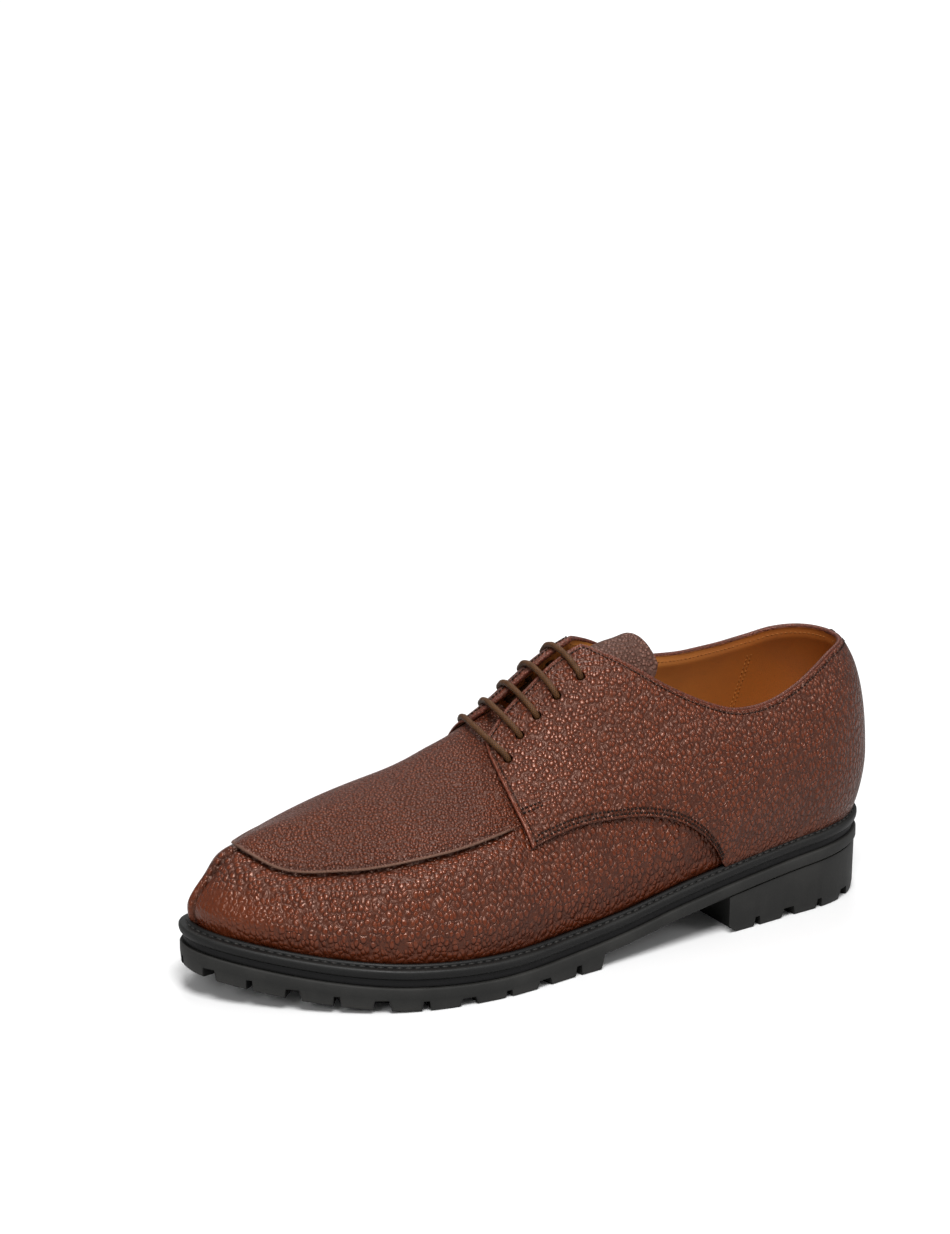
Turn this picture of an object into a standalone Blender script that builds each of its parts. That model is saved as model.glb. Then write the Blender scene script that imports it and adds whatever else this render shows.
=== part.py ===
"""A left lace-up shoe: a derby with a split apron toe in grained leather on a lugged rubber sole.

All leather follows one last. The feather line gives its plan; from each point of that line a ray
runs to the middle line, and on the ray a section curve climbs from the feather over the wall and
the shoulder to the ridge. Sizes are in millimetres, stations run from the heel to the toe.
"""
import math

import bmesh
import bpy
import numpy as np

MM = 0.001
X_MID = 151.07
Y_MID = 0.35

FEATHER_HEEL, FEATHER_TOE = 5.0, 298.0
HEEL_ROUND, HEEL_POWER = 36.0, 2.25
TOE_ROUND, TOE_POWER = 64.0, 2.25

WALL = 2.2
QUARTER = 1.5
GAP = 0.4
FOOT_CLEAR = 1.2
QUARTER_BED = 0.45
PLUG_STEP = 0.9
TOE_SEAM = 1.1
TONGUE_THICK = 2.4
LACE_RADIUS = 1.4
HOLE_RADIUS = 2.15
INSOLE_THICK = 2.5

WELT_THICK = 4.0
MID_THICK = 2.8
PLATE_THICK = 5.2
LUG_DEPTH = 4.4
LAYER_GAP = 0.35
TREAD_REAR = 150.0
HEEL_FRONT = 85.0
HEEL_CHAMFER = 4.5

# Feather line: lateral and medial distance from the axis, and the middle line (medial is positive).
OUTLINE = np.array([
    # station, lateral, medial, middle
    (0.0, 27.0, 29.0, 0.0),
    (40.0, 30.5, 31.5, 0.8),
    (80.0, 35.5, 31.0, 4.0),
    (120.0, 39.0, 31.0, 9.0),
    (160.0, 42.5, 35.0, 12.0),
    (200.0, 47.0, 43.5, 12.8),
    (230.0, 43.0, 47.5, 12.8),
    (260.0, 31.0, 46.0, 13.4),
    (285.0, 18.0, 44.0, 15.0),
    (305.0, 8.0, 40.0, 16.5),
])

# Section curves: feather height, bulge of the wall, shoulder (the apron line ahead of the quarters), ridge.
LAST = np.array([
    # station, feather, out lateral, out medial, bulge up, in lateral, in medial, up lateral, up medial, ridge
    (5.0, 36.5, 5.0, 5.0, 26.0, 5.5, 5.5, 73.0, 73.0, 125.0),
    (40.0, 34.3, 4.0, 4.8, 26.0, 6.0, 4.5, 64.2, 68.2, 128.0),
    (80.0, 30.3, 2.5, 5.2, 22.0, 8.5, 1.5, 62.2, 66.2, 129.5),
    (110.0, 25.8, 2.0, 5.5, 18.5, 11.0, -1.0, 61.2, 65.2, 127.2),
    (140.0, 20.3, 2.0, 5.0, 16.5, 14.0, -1.5, 59.2, 61.0, 116.2),
    (170.0, 17.2, 2.0, 3.8, 14.5, 14.0, -1.0, 47.8, 52.0, 95.3),
    (200.0, 16.3, 2.0, 2.5, 13.0, 14.0, 0.5, 41.7, 43.2, 79.8),
    (230.0, 17.5, 2.0, 2.0, 12.5, 14.0, 0.5, 37.0, 38.0, 70.0),
    (260.0, 20.3, 2.0, 2.0, 11.0, 14.0, 2.5, 30.7, 31.8, 63.0),
    (284.0, 24.0, 1.5, 1.5, 10.0, 14.5, 10.0, 26.9, 28.3, 58.7),
    (298.0, 26.8, 0.8, 0.8, 9.0, 18.3, 18.3, 29.2, 29.2, 57.0),
])

COLLAR = np.array([
    # station, lateral height, medial height
    (0.0, 110.0, 110.0),
    (8.0, 109.8, 110.3),
    (19.5, 107.8, 108.7),
    (30.5, 103.6, 105.8),
    (44.0, 97.9, 103.8),
    (56.0, 94.3, 103.0),
    (67.5, 92.9, 102.5),
    (78.0, 93.5, 103.0),
    (87.5, 96.5, 103.8),
    (96.7, 100.5, 105.2),
    (107.3, 106.5, 110.5),
    (115.6, 112.1, 114.8),
    (123.3, 116.6, 117.8),
    (129.3, 119.2, 119.8),
    (140.0, 123.5, 124.0),
])

THROAT = np.array([
    # station, middle line to the lateral facing edge, to the medial one
    (122.0, 8.0, 6.0),
    (130.0, 5.8, 2.8),
    (143.0, 5.6, 1.5),
    (154.0, 6.6, 1.6),
    (165.0, 7.4, 2.6),
    (172.0, 10.2, 4.2),
    (178.7, 13.4, 6.2),
    (200.0, 21.0, 13.0),
])

# Lower seam of the quarters, height over the feather line; the medial one lies a little further back.
SEAM = np.array([
    # station, height
    (86.5, 0.0),
    (88.2, 2.2),
    (91.5, 8.3),
    (98.0, 17.3),
    (107.0, 25.7),
    (120.0, 33.2),
    (128.6, 36.4),
    (141.6, 39.2),
    (154.2, 40.3),
    (167.4, 39.0),
    (178.8, 37.2),
    (190.0, 35.5),
])
STEEP_SEAM = (88.2, 91.5, 95.0, 102.0)
MEDIAL_FORWARD = -2.0
QUARTER_FOOT = 178.2
QUARTER_FRONT = ((0.0, 178.2), (0.34, 179.6), (0.64, 180.2), (0.87, 179.8), (1.0, 178.2))

# Eyelets: stations on each side, and how far they lie from the facing edge along the leather.
EYELETS = np.array([
    # lateral station, distance, medial station, distance
    (174.0, 15.5, 172.5, 13.0),
    (166.0, 14.0, 164.0, 13.0),
    (157.5, 13.5, 156.0, 13.0),
    (148.2, 13.5, 147.0, 13.0),
    (137.5, 13.5, 137.0, 13.0),
])

# How far the welt stands out past the feather line.
LEDGE = np.array([
    # station, lateral, medial
    (0.0, 4.6, 4.6),
    (60.0, 4.0, 3.6),
    (120.0, 4.2, 2.6),
    (170.0, 5.0, 4.6),
    (210.0, 5.5, 5.5),
    (270.0, 5.5, 5.5),
    (298.0, 6.0, 6.0),
])


def column(table, k, s):
    """Cubic through column k of a table, tangents from the neighbouring rows."""
    x, y = table[:, 0], table[:, k]
    dx = np.diff(x)
    d = np.diff(y) / dx
    m = np.empty_like(y)
    m[1:-1] = (d[:-1] * dx[1:] + d[1:] * dx[:-1]) / (x[2:] - x[:-2])
    m[0], m[-1] = d[0], d[-1]
    s = np.clip(np.asarray(s, float), x[0], x[-1])
    i = np.clip(np.searchsorted(x, s, side="right") - 1, 0, len(x) - 2)
    h = x[i + 1] - x[i]
    t = (s - x[i]) / h
    return ((1 + 2 * t) * (1 - t) ** 2 * y[i] + t * (1 - t) ** 2 * h * m[i]
            + t * t * (3 - 2 * t) * y[i + 1] + t * t * (t - 1) * h * m[i + 1])


def smooth(x):
    x = np.clip(x, 0.0, 1.0)
    return x * x * (3.0 - 2.0 * x)


def station(t):
    """Station of the feather point at ray t: 0 at the heel, 1 at the toe, close set at both ends."""
    return FEATHER_HEEL + (FEATHER_TOE - FEATHER_HEEL) * (0.5 - 0.5 * np.cos(np.pi * np.asarray(t, float)))


def ray_at(s):
    q = (np.asarray(s, float) - FEATHER_HEEL) / (FEATHER_TOE - FEATHER_HEEL)
    return np.arccos(1.0 - 2.0 * np.clip(q, 0.0, 1.0)) / np.pi


def feather(t, side):
    """Plan point of the feather line; side -1 is lateral, +1 medial."""
    s = station(t)
    a = np.clip((FEATHER_HEEL + HEEL_ROUND - s) / HEEL_ROUND, 0, 1)
    b = np.clip((s - FEATHER_TOE + TOE_ROUND) / TOE_ROUND, 0, 1)
    ends = (1 - a ** HEEL_POWER) ** (1 / HEEL_POWER) * (1 - b ** TOE_POWER) ** (1 / TOE_POWER)
    mid = column(OUTLINE, 3, s)
    edge = np.where(np.asarray(side) < 0, -column(OUTLINE, 1, s), column(OUTLINE, 2, s))
    return s, mid + (edge - mid) * ends


def foot(s):
    """Station on the middle line where the ray from feather station s ends; rays fan at both ends."""
    heel = 36.0 * (1 - smooth((s - FEATHER_HEEL) / 95.0))
    toe = 52.0 * smooth((s - 190.0) / (FEATHER_TOE - 190.0))
    return s + heel - toe


def hermite(p, q, m, n, t):
    t = t[..., None]
    return ((1 + 2 * t) * (1 - t) ** 2 * p + t * (1 - t) ** 2 * m
            + t * t * (3 - 2 * t) * q + t * t * (t - 1) * n)


def pair(a, b):
    return np.stack(np.broadcast_arrays(a, b), -1)


def on_last(t, side, v):
    """Point of the last at ray t and height v: 0 feather, 0.2 bulge, 0.5 shoulder, 1 ridge."""
    t, side, v = np.broadcast_arrays(np.asarray(t, float), np.asarray(side, float), np.asarray(v, float))
    s, y = feather(t, side)
    g = foot(s)
    gy = column(OUTLINE, 3, g)
    rho = np.hypot(s - g, y - gy)
    ux, uy = (s - g) / rho, (y - gy) / rho
    zf, up = column(LAST, 1, s), column(LAST, 4, s)
    out, inn, top = (np.where(side < 0, column(LAST, k, s), column(LAST, k + 1, s)) for k in (2, 5, 7))
    ridge = column(LAST, 9, g)
    slope = (column(LAST, 9, g + 0.5) - column(LAST, 9, g - 0.5)) * ux
    f, w = pair(rho, zf), pair(rho + out, zf + up)
    a, r = pair(rho - inn, zf + top), pair(0.0 * rho, ridge)
    wa = np.linalg.norm(a - w, axis=-1)[..., None]
    ar = np.linalg.norm(r - a, axis=-1)[..., None]
    along = (r - w) / np.linalg.norm(r - w, axis=-1)[..., None]
    end = pair(-np.ones_like(rho), -slope)
    end = end / np.linalg.norm(end, axis=-1)[..., None]
    rise = pair(-0.25 * inn, 0.55 * top)
    first = hermite(f, w, pair(2.2 * out, up), rise * (0.9 * up / (top - up))[..., None], np.clip(v / 0.2, 0, 1))
    second = hermite(w, a, rise, along * wa, np.clip((v - 0.2) / 0.3, 0, 1))
    third = hermite(a, r, along * ar, end * ar, np.clip((v - 0.5) / 0.5, 0, 1))
    p = np.where((v < 0.2)[..., None], first, np.where((v < 0.5)[..., None], second, third))
    return np.stack([g + ux * p[..., 0], gy + uy * p[..., 0], p[..., 1]], -1)


def normal(t, side, v):
    """Outward normal of the last; taken just short of the ridge, where the toe's rays meet."""
    t, side, v = np.broadcast_arrays(np.asarray(t, float), np.asarray(side, float), np.asarray(v, float))
    e = 2e-4
    t = np.clip(t, 3 * e, 1 - 3 * e)
    v = np.minimum(v, 0.985)
    dv = on_last(t, side, v + e) - on_last(t, side, np.maximum(v - e, 0))
    dt = on_last(t + e, side, v) - on_last(t - e, side, v)
    n = np.cross(dv, dt) * side[..., None]
    return n / np.maximum(np.linalg.norm(n, axis=-1, keepdims=True), 1e-9)


def leather(t, side, v, off):
    """Point at distance off outside the last."""
    return on_last(t, side, v) + normal(t, side, v) * np.asarray(off, float)[..., None]


def height_for_z(t, side, z):
    """v where the section at ray t first reaches height z."""
    v = np.linspace(0.0, 1.0, 401)
    p = on_last(t, side, v)[:, 2]
    k = int(np.argmax(p >= z)) if np.any(p >= z) else 400
    if k in (0, 400):
        return k / 400.0
    return float(v[k - 1] + (z - p[k - 1]) / (p[k] - p[k - 1]) * (v[k] - v[k - 1]))


def height_for_gap(t, side, h):
    """v where the section at ray t is h away, in plan, from the middle line."""
    v = np.linspace(0.3, 1.0, 401)
    p = on_last(t, side, v)
    g = foot(station(t))
    d = np.hypot(p[:, 0] - g, p[:, 1] - column(OUTLINE, 3, g))
    return float(np.interp(-h, -d, v))


def top_limit(t, side, back):
    """v of the collar or facing edge at ray t, moved back from the edge by the given distance."""
    s = float(station(t))
    k = 1 if side < 0 else 2
    v = 1.0
    if s < 140.0:
        v = min(v, height_for_z(t, side, float(column(COLLAR, k, s)) - back))
    if s > 110.0:
        v = min(v, height_for_gap(t, side, float(column(THROAT, k, s)) + back))
    return v


def to_world(points):
    p = np.asarray(points, float).reshape(-1, 3)
    return np.stack([X_MID - p[:, 0], p[:, 1] - Y_MID, p[:, 2]], -1) * MM


def collection(name):
    c = bpy.data.collections.new(name)
    bpy.context.scene.collection.children.link(c)
    return c


def material(name, colour, rough, metal=0.0):
    m = bpy.data.materials.new(name)
    m.use_nodes = True
    b = m.node_tree.nodes["Principled BSDF"]
    b.inputs["Base Color"].default_value = (*colour, 1.0)
    b.inputs["Roughness"].default_value = rough
    b.inputs["Metallic"].default_value = metal
    return m


def add(bm, name, mat, where):
    bmesh.ops.recalc_face_normals(bm, faces=bm.faces)
    mesh = bpy.data.meshes.new(name)
    bm.to_mesh(mesh)
    bm.free()
    ob = bpy.data.objects.new(name, mesh)
    if mat:
        mesh.materials.append(mat)
    where.objects.link(ob)
    return ob


def vertices(bm, grids):
    """Vertices for each grid of points, kept in the grid's shape."""
    out = []
    for g in grids:
        g = np.asarray(g, float)
        vs = [bm.verts.new(p) for p in to_world(g)]
        out.append(np.array(vs, dtype=object).reshape(g.shape[:-1]))
    return out


def quad(bm, *vs):
    seen = []
    for v in vs:
        if v not in seen:
            seen.append(v)
    if len(seen) > 2 and bm.faces.get(seen) is None:
        bm.faces.new(seen)


def sheet(outer, inner):
    """Closed thin solid from an outer and an inner grid of points (rows x columns x 3)."""
    bm = bmesh.new()
    a, b = vertices(bm, (outer, inner))
    rows, cols = a.shape
    for i in range(rows - 1):
        for j in range(cols - 1):
            quad(bm, a[i, j], a[i, j + 1], a[i + 1, j + 1], a[i + 1, j])
            quad(bm, b[i, j], b[i + 1, j], b[i + 1, j + 1], b[i, j + 1])
    for i in range(rows - 1):
        for j in (0, cols - 1):
            quad(bm, a[i, j], b[i, j], b[i + 1, j], a[i + 1, j])
    for j in range(cols - 1):
        for i in (0, rows - 1):
            quad(bm, a[i, j], a[i, j + 1], b[i, j + 1], b[i, j])
    return bm


def stack(rings):
    """Closed solid from rings round the outline, one above the other, capped by rungs across.

    A ring holds the lateral points heel to toe, then the medial points toe to heel.
    """
    bm = bmesh.new()
    grids = vertices(bm, rings)
    n = len(grids[0])
    for lo, hi in zip(grids[:-1], grids[1:]):
        for j in range(n):
            quad(bm, lo[j], lo[(j + 1) % n], hi[(j + 1) % n], hi[j])
    for g in (grids[0], grids[-1]):
        for j in range(n // 2):
            quad(bm, g[j], g[j + 1], g[(n - 1 - j) % n], g[(n - j) % n])
    return bm


def hoop(profile):
    """Closed ring-shaped solid: the last ring of the profile joins the first."""
    bm = bmesh.new()
    grids = vertices(bm, profile)
    n = len(grids[0])
    for lo, hi in zip(grids, grids[1:] + grids[:1]):
        for j in range(n):
            quad(bm, lo[j], lo[(j + 1) % n], hi[(j + 1) % n], hi[j])
    return bm


def cut(ob, cutter, crossing=False):
    """Take the cutter's shapes out of ob; crossing says that these shapes cross each other."""
    m = ob.modifiers.new("cut", 'BOOLEAN')
    m.operation = 'DIFFERENCE'
    m.solver = 'EXACT'
    m.use_self = crossing
    m.object = cutter


for old in list(bpy.data.objects):
    bpy.data.objects.remove(old)

shoe = collection("lace_up_shoe")
cutters = collection("cutters")

brown = material("leather_brown", (0.16, 0.055, 0.035), 0.45)
seam_dark = material("leather_dark", (0.03, 0.016, 0.014), 0.5)
lining = material("leather_tan", (0.42, 0.17, 0.035), 0.6)
lace_brown = material("cord_brown", (0.11, 0.065, 0.04), 0.75)
rubber = material("rubber_black", (0.022, 0.022, 0.023), 0.6)
rubber_mid = material("rubber_midsole", (0.014, 0.014, 0.015), 0.7)


# Upper: vamp, apron plug and lining as one hollow solid
RAYS = 33
ray_t = np.concatenate([np.linspace(0.0, 1.0, RAYS), ray_at(np.array([127.0, 132.5, 172.0, 175.5])), [0.985]])
ray_t = np.unique(np.round(ray_t, 5))
LOW = np.array([0.0, 0.16, 0.34, 0.54, 0.78, 0.975])
HIGH = np.array([0.02, 0.27, 0.52, 0.77, 1.0])
FRONT_OF_THROAT = 176.0


def upper_top(t, side):
    s = float(station(t))
    if s >= FRONT_OF_THROAT:
        return 1.0
    v = top_limit(t, side, 0.8)
    if s > 164.0:
        wide = float(column(THROAT, 1 if side < 0 else 2, s)) + 0.8
        v = height_for_gap(t, side, wide * math.sqrt(min(1.0, (FRONT_OF_THROAT - s) / 9.0)))
    return v


def upper_column(t, side):
    """Rows of v for one ray, and the raise of the outer face: plug, toe seam and bed of the quarters."""
    s = float(station(t))
    top = upper_top(t, side)
    mid = 0.5 * min(1.0, top / 0.64)
    v = np.concatenate([LOW * mid, mid + HIGH * (top - mid)])
    ahead = s - (MEDIAL_FORWARD if side > 0 else 0.0)
    plug = PLUG_STEP * float(smooth((ahead - 183.0) / 14.0))
    raise_ = np.where(np.arange(len(v)) >= len(LOW), plug, 0.0)
    raise_ = raise_ - QUARTER_BED * (1.0 - float(smooth((ahead - 170.0) / 14.0)))
    if t == 1.0:
        raise_[1:len(LOW)] += TOE_SEAM
    return v, raise_


def upper_points(t, side):
    v, raise_ = upper_column(t, side)
    return leather(t, side, v, raise_), leather(t, side, v, np.full(len(v), -WALL))


columns_ = [(t, -1) for t in ray_t] + [(t, 1) for t in ray_t[::-1][1:-1]]
made = [upper_points(t, side) for t, side in columns_]
outer = np.stack([m[0] for m in made], 1)
inner = np.stack([m[1] for m in made], 1)
count = len(columns_)
closed = [j for j, t in enumerate(ray_t) if station(t) >= FRONT_OF_THROAT and t < 1.0]
for grid in (outer, inner):
    for j in closed:
        k = count - j
        grid[-1, j] = grid[-1, k] = 0.5 * (grid[-1, j] + grid[-1, k])

bm = bmesh.new()
a, b = vertices(bm, (outer, inner))
for j in closed:
    a[-1, count - j] = a[-1, j]
    b[-1, count - j] = b[-1, j]
rows = a.shape[0]
for j in range(count):
    k = (j + 1) % count
    for i in range(rows - 1):
        quad(bm, a[i, j], a[i, k], a[i + 1, k], a[i + 1, j])
        quad(bm, b[i, j], b[i + 1, j], b[i + 1, k], b[i, k])
    quad(bm, a[0, j], b[0, j], b[0, k], a[0, k])
    if not (j in closed or k in closed or count - j in closed or count - k in closed):
        quad(bm, a[-1, j], a[-1, k], b[-1, k], b[-1, j])
front = closed[0]
for j, k in ((front, front - 1), (count - front, count - front + 1)):
    quad(bm, a[-1, j], a[-1, k], b[-1, k], b[-1, j])
bmesh.ops.delete(bm, geom=[v for v in bm.verts if not v.link_faces], context='VERTS')
upper = add(bm, "upper", brown, shoe)


# Narrow strip over the back seam, let in between the quarters
STRIP_RAYS = np.array([0.0, 0.5, 1.0]) * 0.0085
HALF_STRIP_STATION = float(station(0.0105))


def strip_points():
    share = np.linspace(0.0, 1.0, 11)
    grids = [[], []]
    for t, side in [(q, -1) for q in STRIP_RAYS[::-1]] + [(q, 1) for q in STRIP_RAYS[1:]]:
        low = height_for_z(t, side, float(column(LAST, 1, float(station(t)))) + FOOT_CLEAR)
        v = low + share * (top_limit(t, side, 0.0) - low)
        grids[0].append(leather(t, side, v, np.full(len(v), GAP + QUARTER)))
        grids[1].append(leather(t, side, v, np.full(len(v), GAP)))
    return [np.stack(g, 1) for g in grids]


back_strip = add(sheet(*strip_points()), "back_strip", seam_dark, shoe)


# Quarters: overlay shells with the facings, from the upper's own function
def quarter_points(side):
    move = MEDIAL_FORWARD if side > 0 else 0.0
    last_s = QUARTER_FOOT + move
    stations = [float(s) for s in station(ray_t) if 6.5 < s < last_s - 3.0]
    steep = [s + move for s in STEEP_SEAM]
    stations += [s for s in steep if min(abs(s - q) for q in stations) > 1.6]
    stations = [HALF_STRIP_STATION] + sorted(stations) + [last_s]
    share = 1.0 - (1.0 - np.linspace(0.0, 1.0, 11)) ** 1.3
    front_s = np.interp(share, [q[0] for q in QUARTER_FRONT], [q[1] for q in QUARTER_FRONT])
    grids = [[], []]
    for s in stations:
        pull = (s / last_s) ** 8
        col = [[], []]
        for q, f in zip(share, front_s):
            t = float(ray_at(s + (f - QUARTER_FOOT) * pull))
            up = float(column(SEAM, 1, float(station(t)) - move))
            zf = float(column(LAST, 1, float(station(t))))
            low = height_for_z(t, side, zf + max(up, FOOT_CLEAR))
            v = low + (top_limit(t, side, 0.0) - low) * q
            col[0].append(leather(t, side, v, GAP + QUARTER))
            col[1].append(leather(t, side, v, GAP))
        for g, c in zip(grids, col):
            g.append(np.array(c))
    return [np.stack(g, 1) for g in grids]


quarter_lateral = add(sheet(*quarter_points(-1)), "quarter_lateral", brown, shoe)
quarter_medial = add(sheet(*quarter_points(1)), "quarter_medial", brown, shoe)


# Tongue: lapped under the plug in front, dropped under the facings so that the lace has room
TONGUE = np.array([
    # station, half width lateral, half width medial, drop of the outer face
    (102.5, 20.0, 13.0, 6.3),
    (104.5, 22.2, 15.0, 6.4),
    (109.0, 23.2, 16.0, 6.5),
    (120.0, 23.4, 16.6, 6.5),
    (135.0, 23.6, 17.2, 6.5),
    (150.0, 24.0, 17.5, 6.5),
    (165.0, 25.0, 18.0, 6.5),
    (181.5, 25.0, 18.0, 6.5),
    (188.5, 24.0, 17.0, 3.2),
    (194.0, 22.0, 15.5, 2.75),
])
TONGUE_HOLLOW = 5.0


def tongue_points():
    across = np.linspace(-1.0, 1.0, 11)
    grids = [[], []]
    for s in np.concatenate([TONGUE[:3, 0], np.linspace(116.0, 174.0, 9), TONGUE[-3:, 0]]):
        hollow = TONGUE_HOLLOW * (1.0 - float(smooth((s - TONGUE[0, 0]) / 18.0)))
        rows_ = [[], []]
        for q in across:
            t = float(ray_at(s + hollow * (1.0 + 0.8 * q - 0.2 * q * q)))
            side = -1 if q < 0 else 1
            wide = float(column(TONGUE, 1 if q < 0 else 2, s))
            v = height_for_gap(t, side, abs(q) * wide)
            drop = float(column(TONGUE, 3, s))
            rows_[0].append(leather(t, side, v, -drop))
            rows_[1].append(leather(t, side, v, -drop - TONGUE_THICK))
        for g, r in zip(grids, rows_):
            g.append(np.array(r))
    return [np.array(g) for g in grids]


tongue = add(sheet(*tongue_points()), "tongue", brown, shoe)


# Eyelet holes through quarter and upper, and the lace through them
def eyelet_at(i, side):
    """Ray, height and plan distance from the middle line of one eyelet."""
    k = 0 if side < 0 else 2
    s, away = EYELETS[i][k:k + 2]
    t = float(ray_at(s))
    v = np.linspace(height_for_gap(t, side, float(column(THROAT, 1 + k // 2, s))), 0.3, 400)
    p = on_last(t, side, v)
    run = np.concatenate([[0.0], np.cumsum(np.linalg.norm(np.diff(p, axis=0), axis=1))])
    v = float(np.interp(away, run, v))
    x, y, z = on_last(t, side, v)
    return t, v, math.hypot(x - foot(s), y - column(OUTLINE, 3, foot(s)))


def eyelet(i, side, off):
    t, v, h = eyelet_at(i, side)
    return leather(t, side, v, off)


bm = bmesh.new()
for i in range(len(EYELETS)):
    for side in (-1, 1):
        low, high = to_world([eyelet(i, side, -6.0), eyelet(i, side, 6.0)])
        axis = (high - low) / np.linalg.norm(high - low)
        across_ = np.cross(axis, (1.0, 0.0, 0.0))
        across_ = across_ / np.linalg.norm(across_)
        other = np.cross(axis, across_)
        rings_ = []
        for end in (low, high):
            turn = [2 * math.pi * k / 8 for k in range(8)]
            rings_.append([bm.verts.new(end + HOLE_RADIUS * MM * (math.cos(w) * across_ + math.sin(w) * other))
                           for w in turn])
        for k in range(8):
            quad(bm, rings_[0][k], rings_[0][(k + 1) % 8], rings_[1][(k + 1) % 8], rings_[1][k])
        bm.faces.new(rings_[0])
        bm.faces.new(rings_[1])
holes = add(bm, "eyelet_holes", None, cutters)
for ob in (upper, quarter_lateral, quarter_medial):
    cut(ob, holes)

OVER = GAP + QUARTER + LACE_RADIUS + 0.45
UNDER = -(WALL + LACE_RADIUS + 0.8)
# How far each bar's middle lies towards the toe: a taut lace crosses the falling instep squarely
BOWS = (4.5, 2.7, 1.8, 1.4, 1.2)
# The hidden end lies this much nearer the throat than the eyelets, beside the other runs
BESIDE = 3.8


def on_throat(s_from, s_to, q, h, off, bow=0.0):
    """Point over the throat: h runs from lateral (negative) to medial, q from one station to the other."""
    t = float(ray_at(s_from + (s_to - s_from) * q + 4.0 * bow * q * (1.0 - q)))
    side = -1 if h < 0 else 1
    return leather(t, side, height_for_gap(t, side, abs(h)), off)


def bar(i):
    """Lateral eyelet to medial eyelet, over the facings."""
    ls, ms = EYELETS[i][[0, 2]]
    lh, mh = eyelet_at(i, -1)[2], eyelet_at(i, 1)[2]
    path = []
    for q in (0.06, 0.22, 0.38, 0.52, 0.66, 0.8, 0.94):
        path.append(on_throat(ls, ms, q, -lh + (lh + mh) * q, OVER, BOWS[i]))
    return path


def bend(i, side, inward):
    """Through one eyelet from above to below; inward is the next point of the bar."""
    top_, low_ = eyelet(i, side, 1.5), eyelet(i, side, -1.6)
    high = eyelet(i, side, OVER - 0.5)
    first = high + (inward - high) * 0.3
    return [first, top_, low_]


def hidden_end():
    """Under the lateral facing, from the top eyelet down to the lowest."""
    row = [eyelet_at(i, -1)[2] for i in range(len(EYELETS))]
    path = []
    for s in (EYELETS[-1][0] + 0.6, *EYELETS[3:0:-1, 0], EYELETS[0][0] - 3.5):
        h = float(np.interp(s, EYELETS[::-1, 0], row[::-1])) - BESIDE
        path.append(on_throat(s, s, 0.0, -h, UNDER))
    return path


path = hidden_end()
for i in range(len(EYELETS)):
    over = bar(i)
    start, stop = (-1, 1) if i % 2 == 0 else (1, -1)
    if start > 0:
        over = over[::-1]
    rise_ = bend(i, start, over[0])[::-1]
    fall = bend(i, stop, over[-1])
    path.append(eyelet(i, start, UNDER) + (rise_[0] - eyelet(i, start, -2.0)) * 0.2)
    path += rise_ + over + fall
    path.append(eyelet(i, stop, UNDER))
    if i + 1 < len(EYELETS):
        k = 0 if stop < 0 else 2
        h = 0.5 * (eyelet_at(i, stop)[2] + eyelet_at(i + 1, stop)[2])
        path.append(on_throat(EYELETS[i][k], EYELETS[i + 1][k], 0.5, stop * h, UNDER))

curve = bpy.data.curves.new("lace", 'CURVE')
curve.dimensions = '3D'
curve.bevel_depth = LACE_RADIUS * MM
curve.bevel_resolution = 2
curve.use_fill_caps = True
spline = curve.splines.new('POLY')
spline.points.add(len(path) - 1)
for point, co in zip(spline.points, to_world(path)):
    point.co = (*co, 1.0)
lace = bpy.data.objects.new("lace", curve)
curve.materials.append(lace_brown)
shoe.objects.link(lace)


# Sole: rings round the feather line, each moved out or in by a set distance
def edge_ring(t, side, extra, ledge=1.0):
    """Plan point at the welt's edge plus extra; ledge 0 keeps to the feather line."""
    s, y = feather(t, side)
    if t <= 0.0 or t >= 1.0:
        ns, ny = (-1.0, 0.0) if t <= 0.0 else (1.0, 0.0)
    else:
        e = min(0.002, 0.5 * t, 0.5 * (1.0 - t))
        s0, y0 = feather(t - e, side)
        s1, y1 = feather(t + e, side)
        length = math.hypot(s1 - s0, y1 - y0)
        ns, ny = -side * (y1 - y0) / length, side * (s1 - s0) / length
    out = ledge * float(column(LEDGE, 1 if side < 0 else 2, float(s))) + extra
    return float(s) + ns * out, float(y) + ny * out


def ring(rays, extra, z, ledge=1.0):
    points = []
    for t, side in rays:
        x, y = edge_ring(t, side, extra, ledge)
        points.append((x, y, float(z(x))))
    return np.array(points)


def all_round(ts):
    return [(t, -1) for t in ts] + [(t, 1) for t in ts[::-1][1:-1]]


def feather_height(s):
    """Height of the feather line, carried on straight past the toe."""
    return column(LAST, 1, s) + 0.2 * np.maximum(np.asarray(s, float) - FEATHER_TOE, 0.0)


def below(depth):
    return lambda s: feather_height(s) - GAP - depth


sole_t = np.linspace(0.0, 1.0, 39)
rays = all_round(sole_t)
mid_top = WELT_THICK + LAYER_GAP
plate_top = mid_top + MID_THICK + LAYER_GAP
plate_low = plate_top + PLATE_THICK

welt = add(hoop([ring(rays, -0.7, below(0.0)), ring(rays, 0.0, below(0.8)), ring(rays, -0.2, below(2.6)),
                 ring(rays, -0.8, below(WELT_THICK)), ring(rays, -11.0, below(WELT_THICK), 0.0),
                 ring(rays, -11.0, below(0.0), 0.0)]), "welt", rubber, shoe)
insole = add(stack([ring(rays, -WALL - 0.6, below(-0.3), 0.0),
                    ring(rays, -WALL - 0.4, below(-0.3 - INSOLE_THICK), 0.0)]), "insole", lining, shoe)
midsole = add(stack([ring(rays, -1.8, below(mid_top + MID_THICK)), ring(rays, -1.8, below(mid_top))]),
              "midsole", rubber_mid, shoe)


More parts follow.
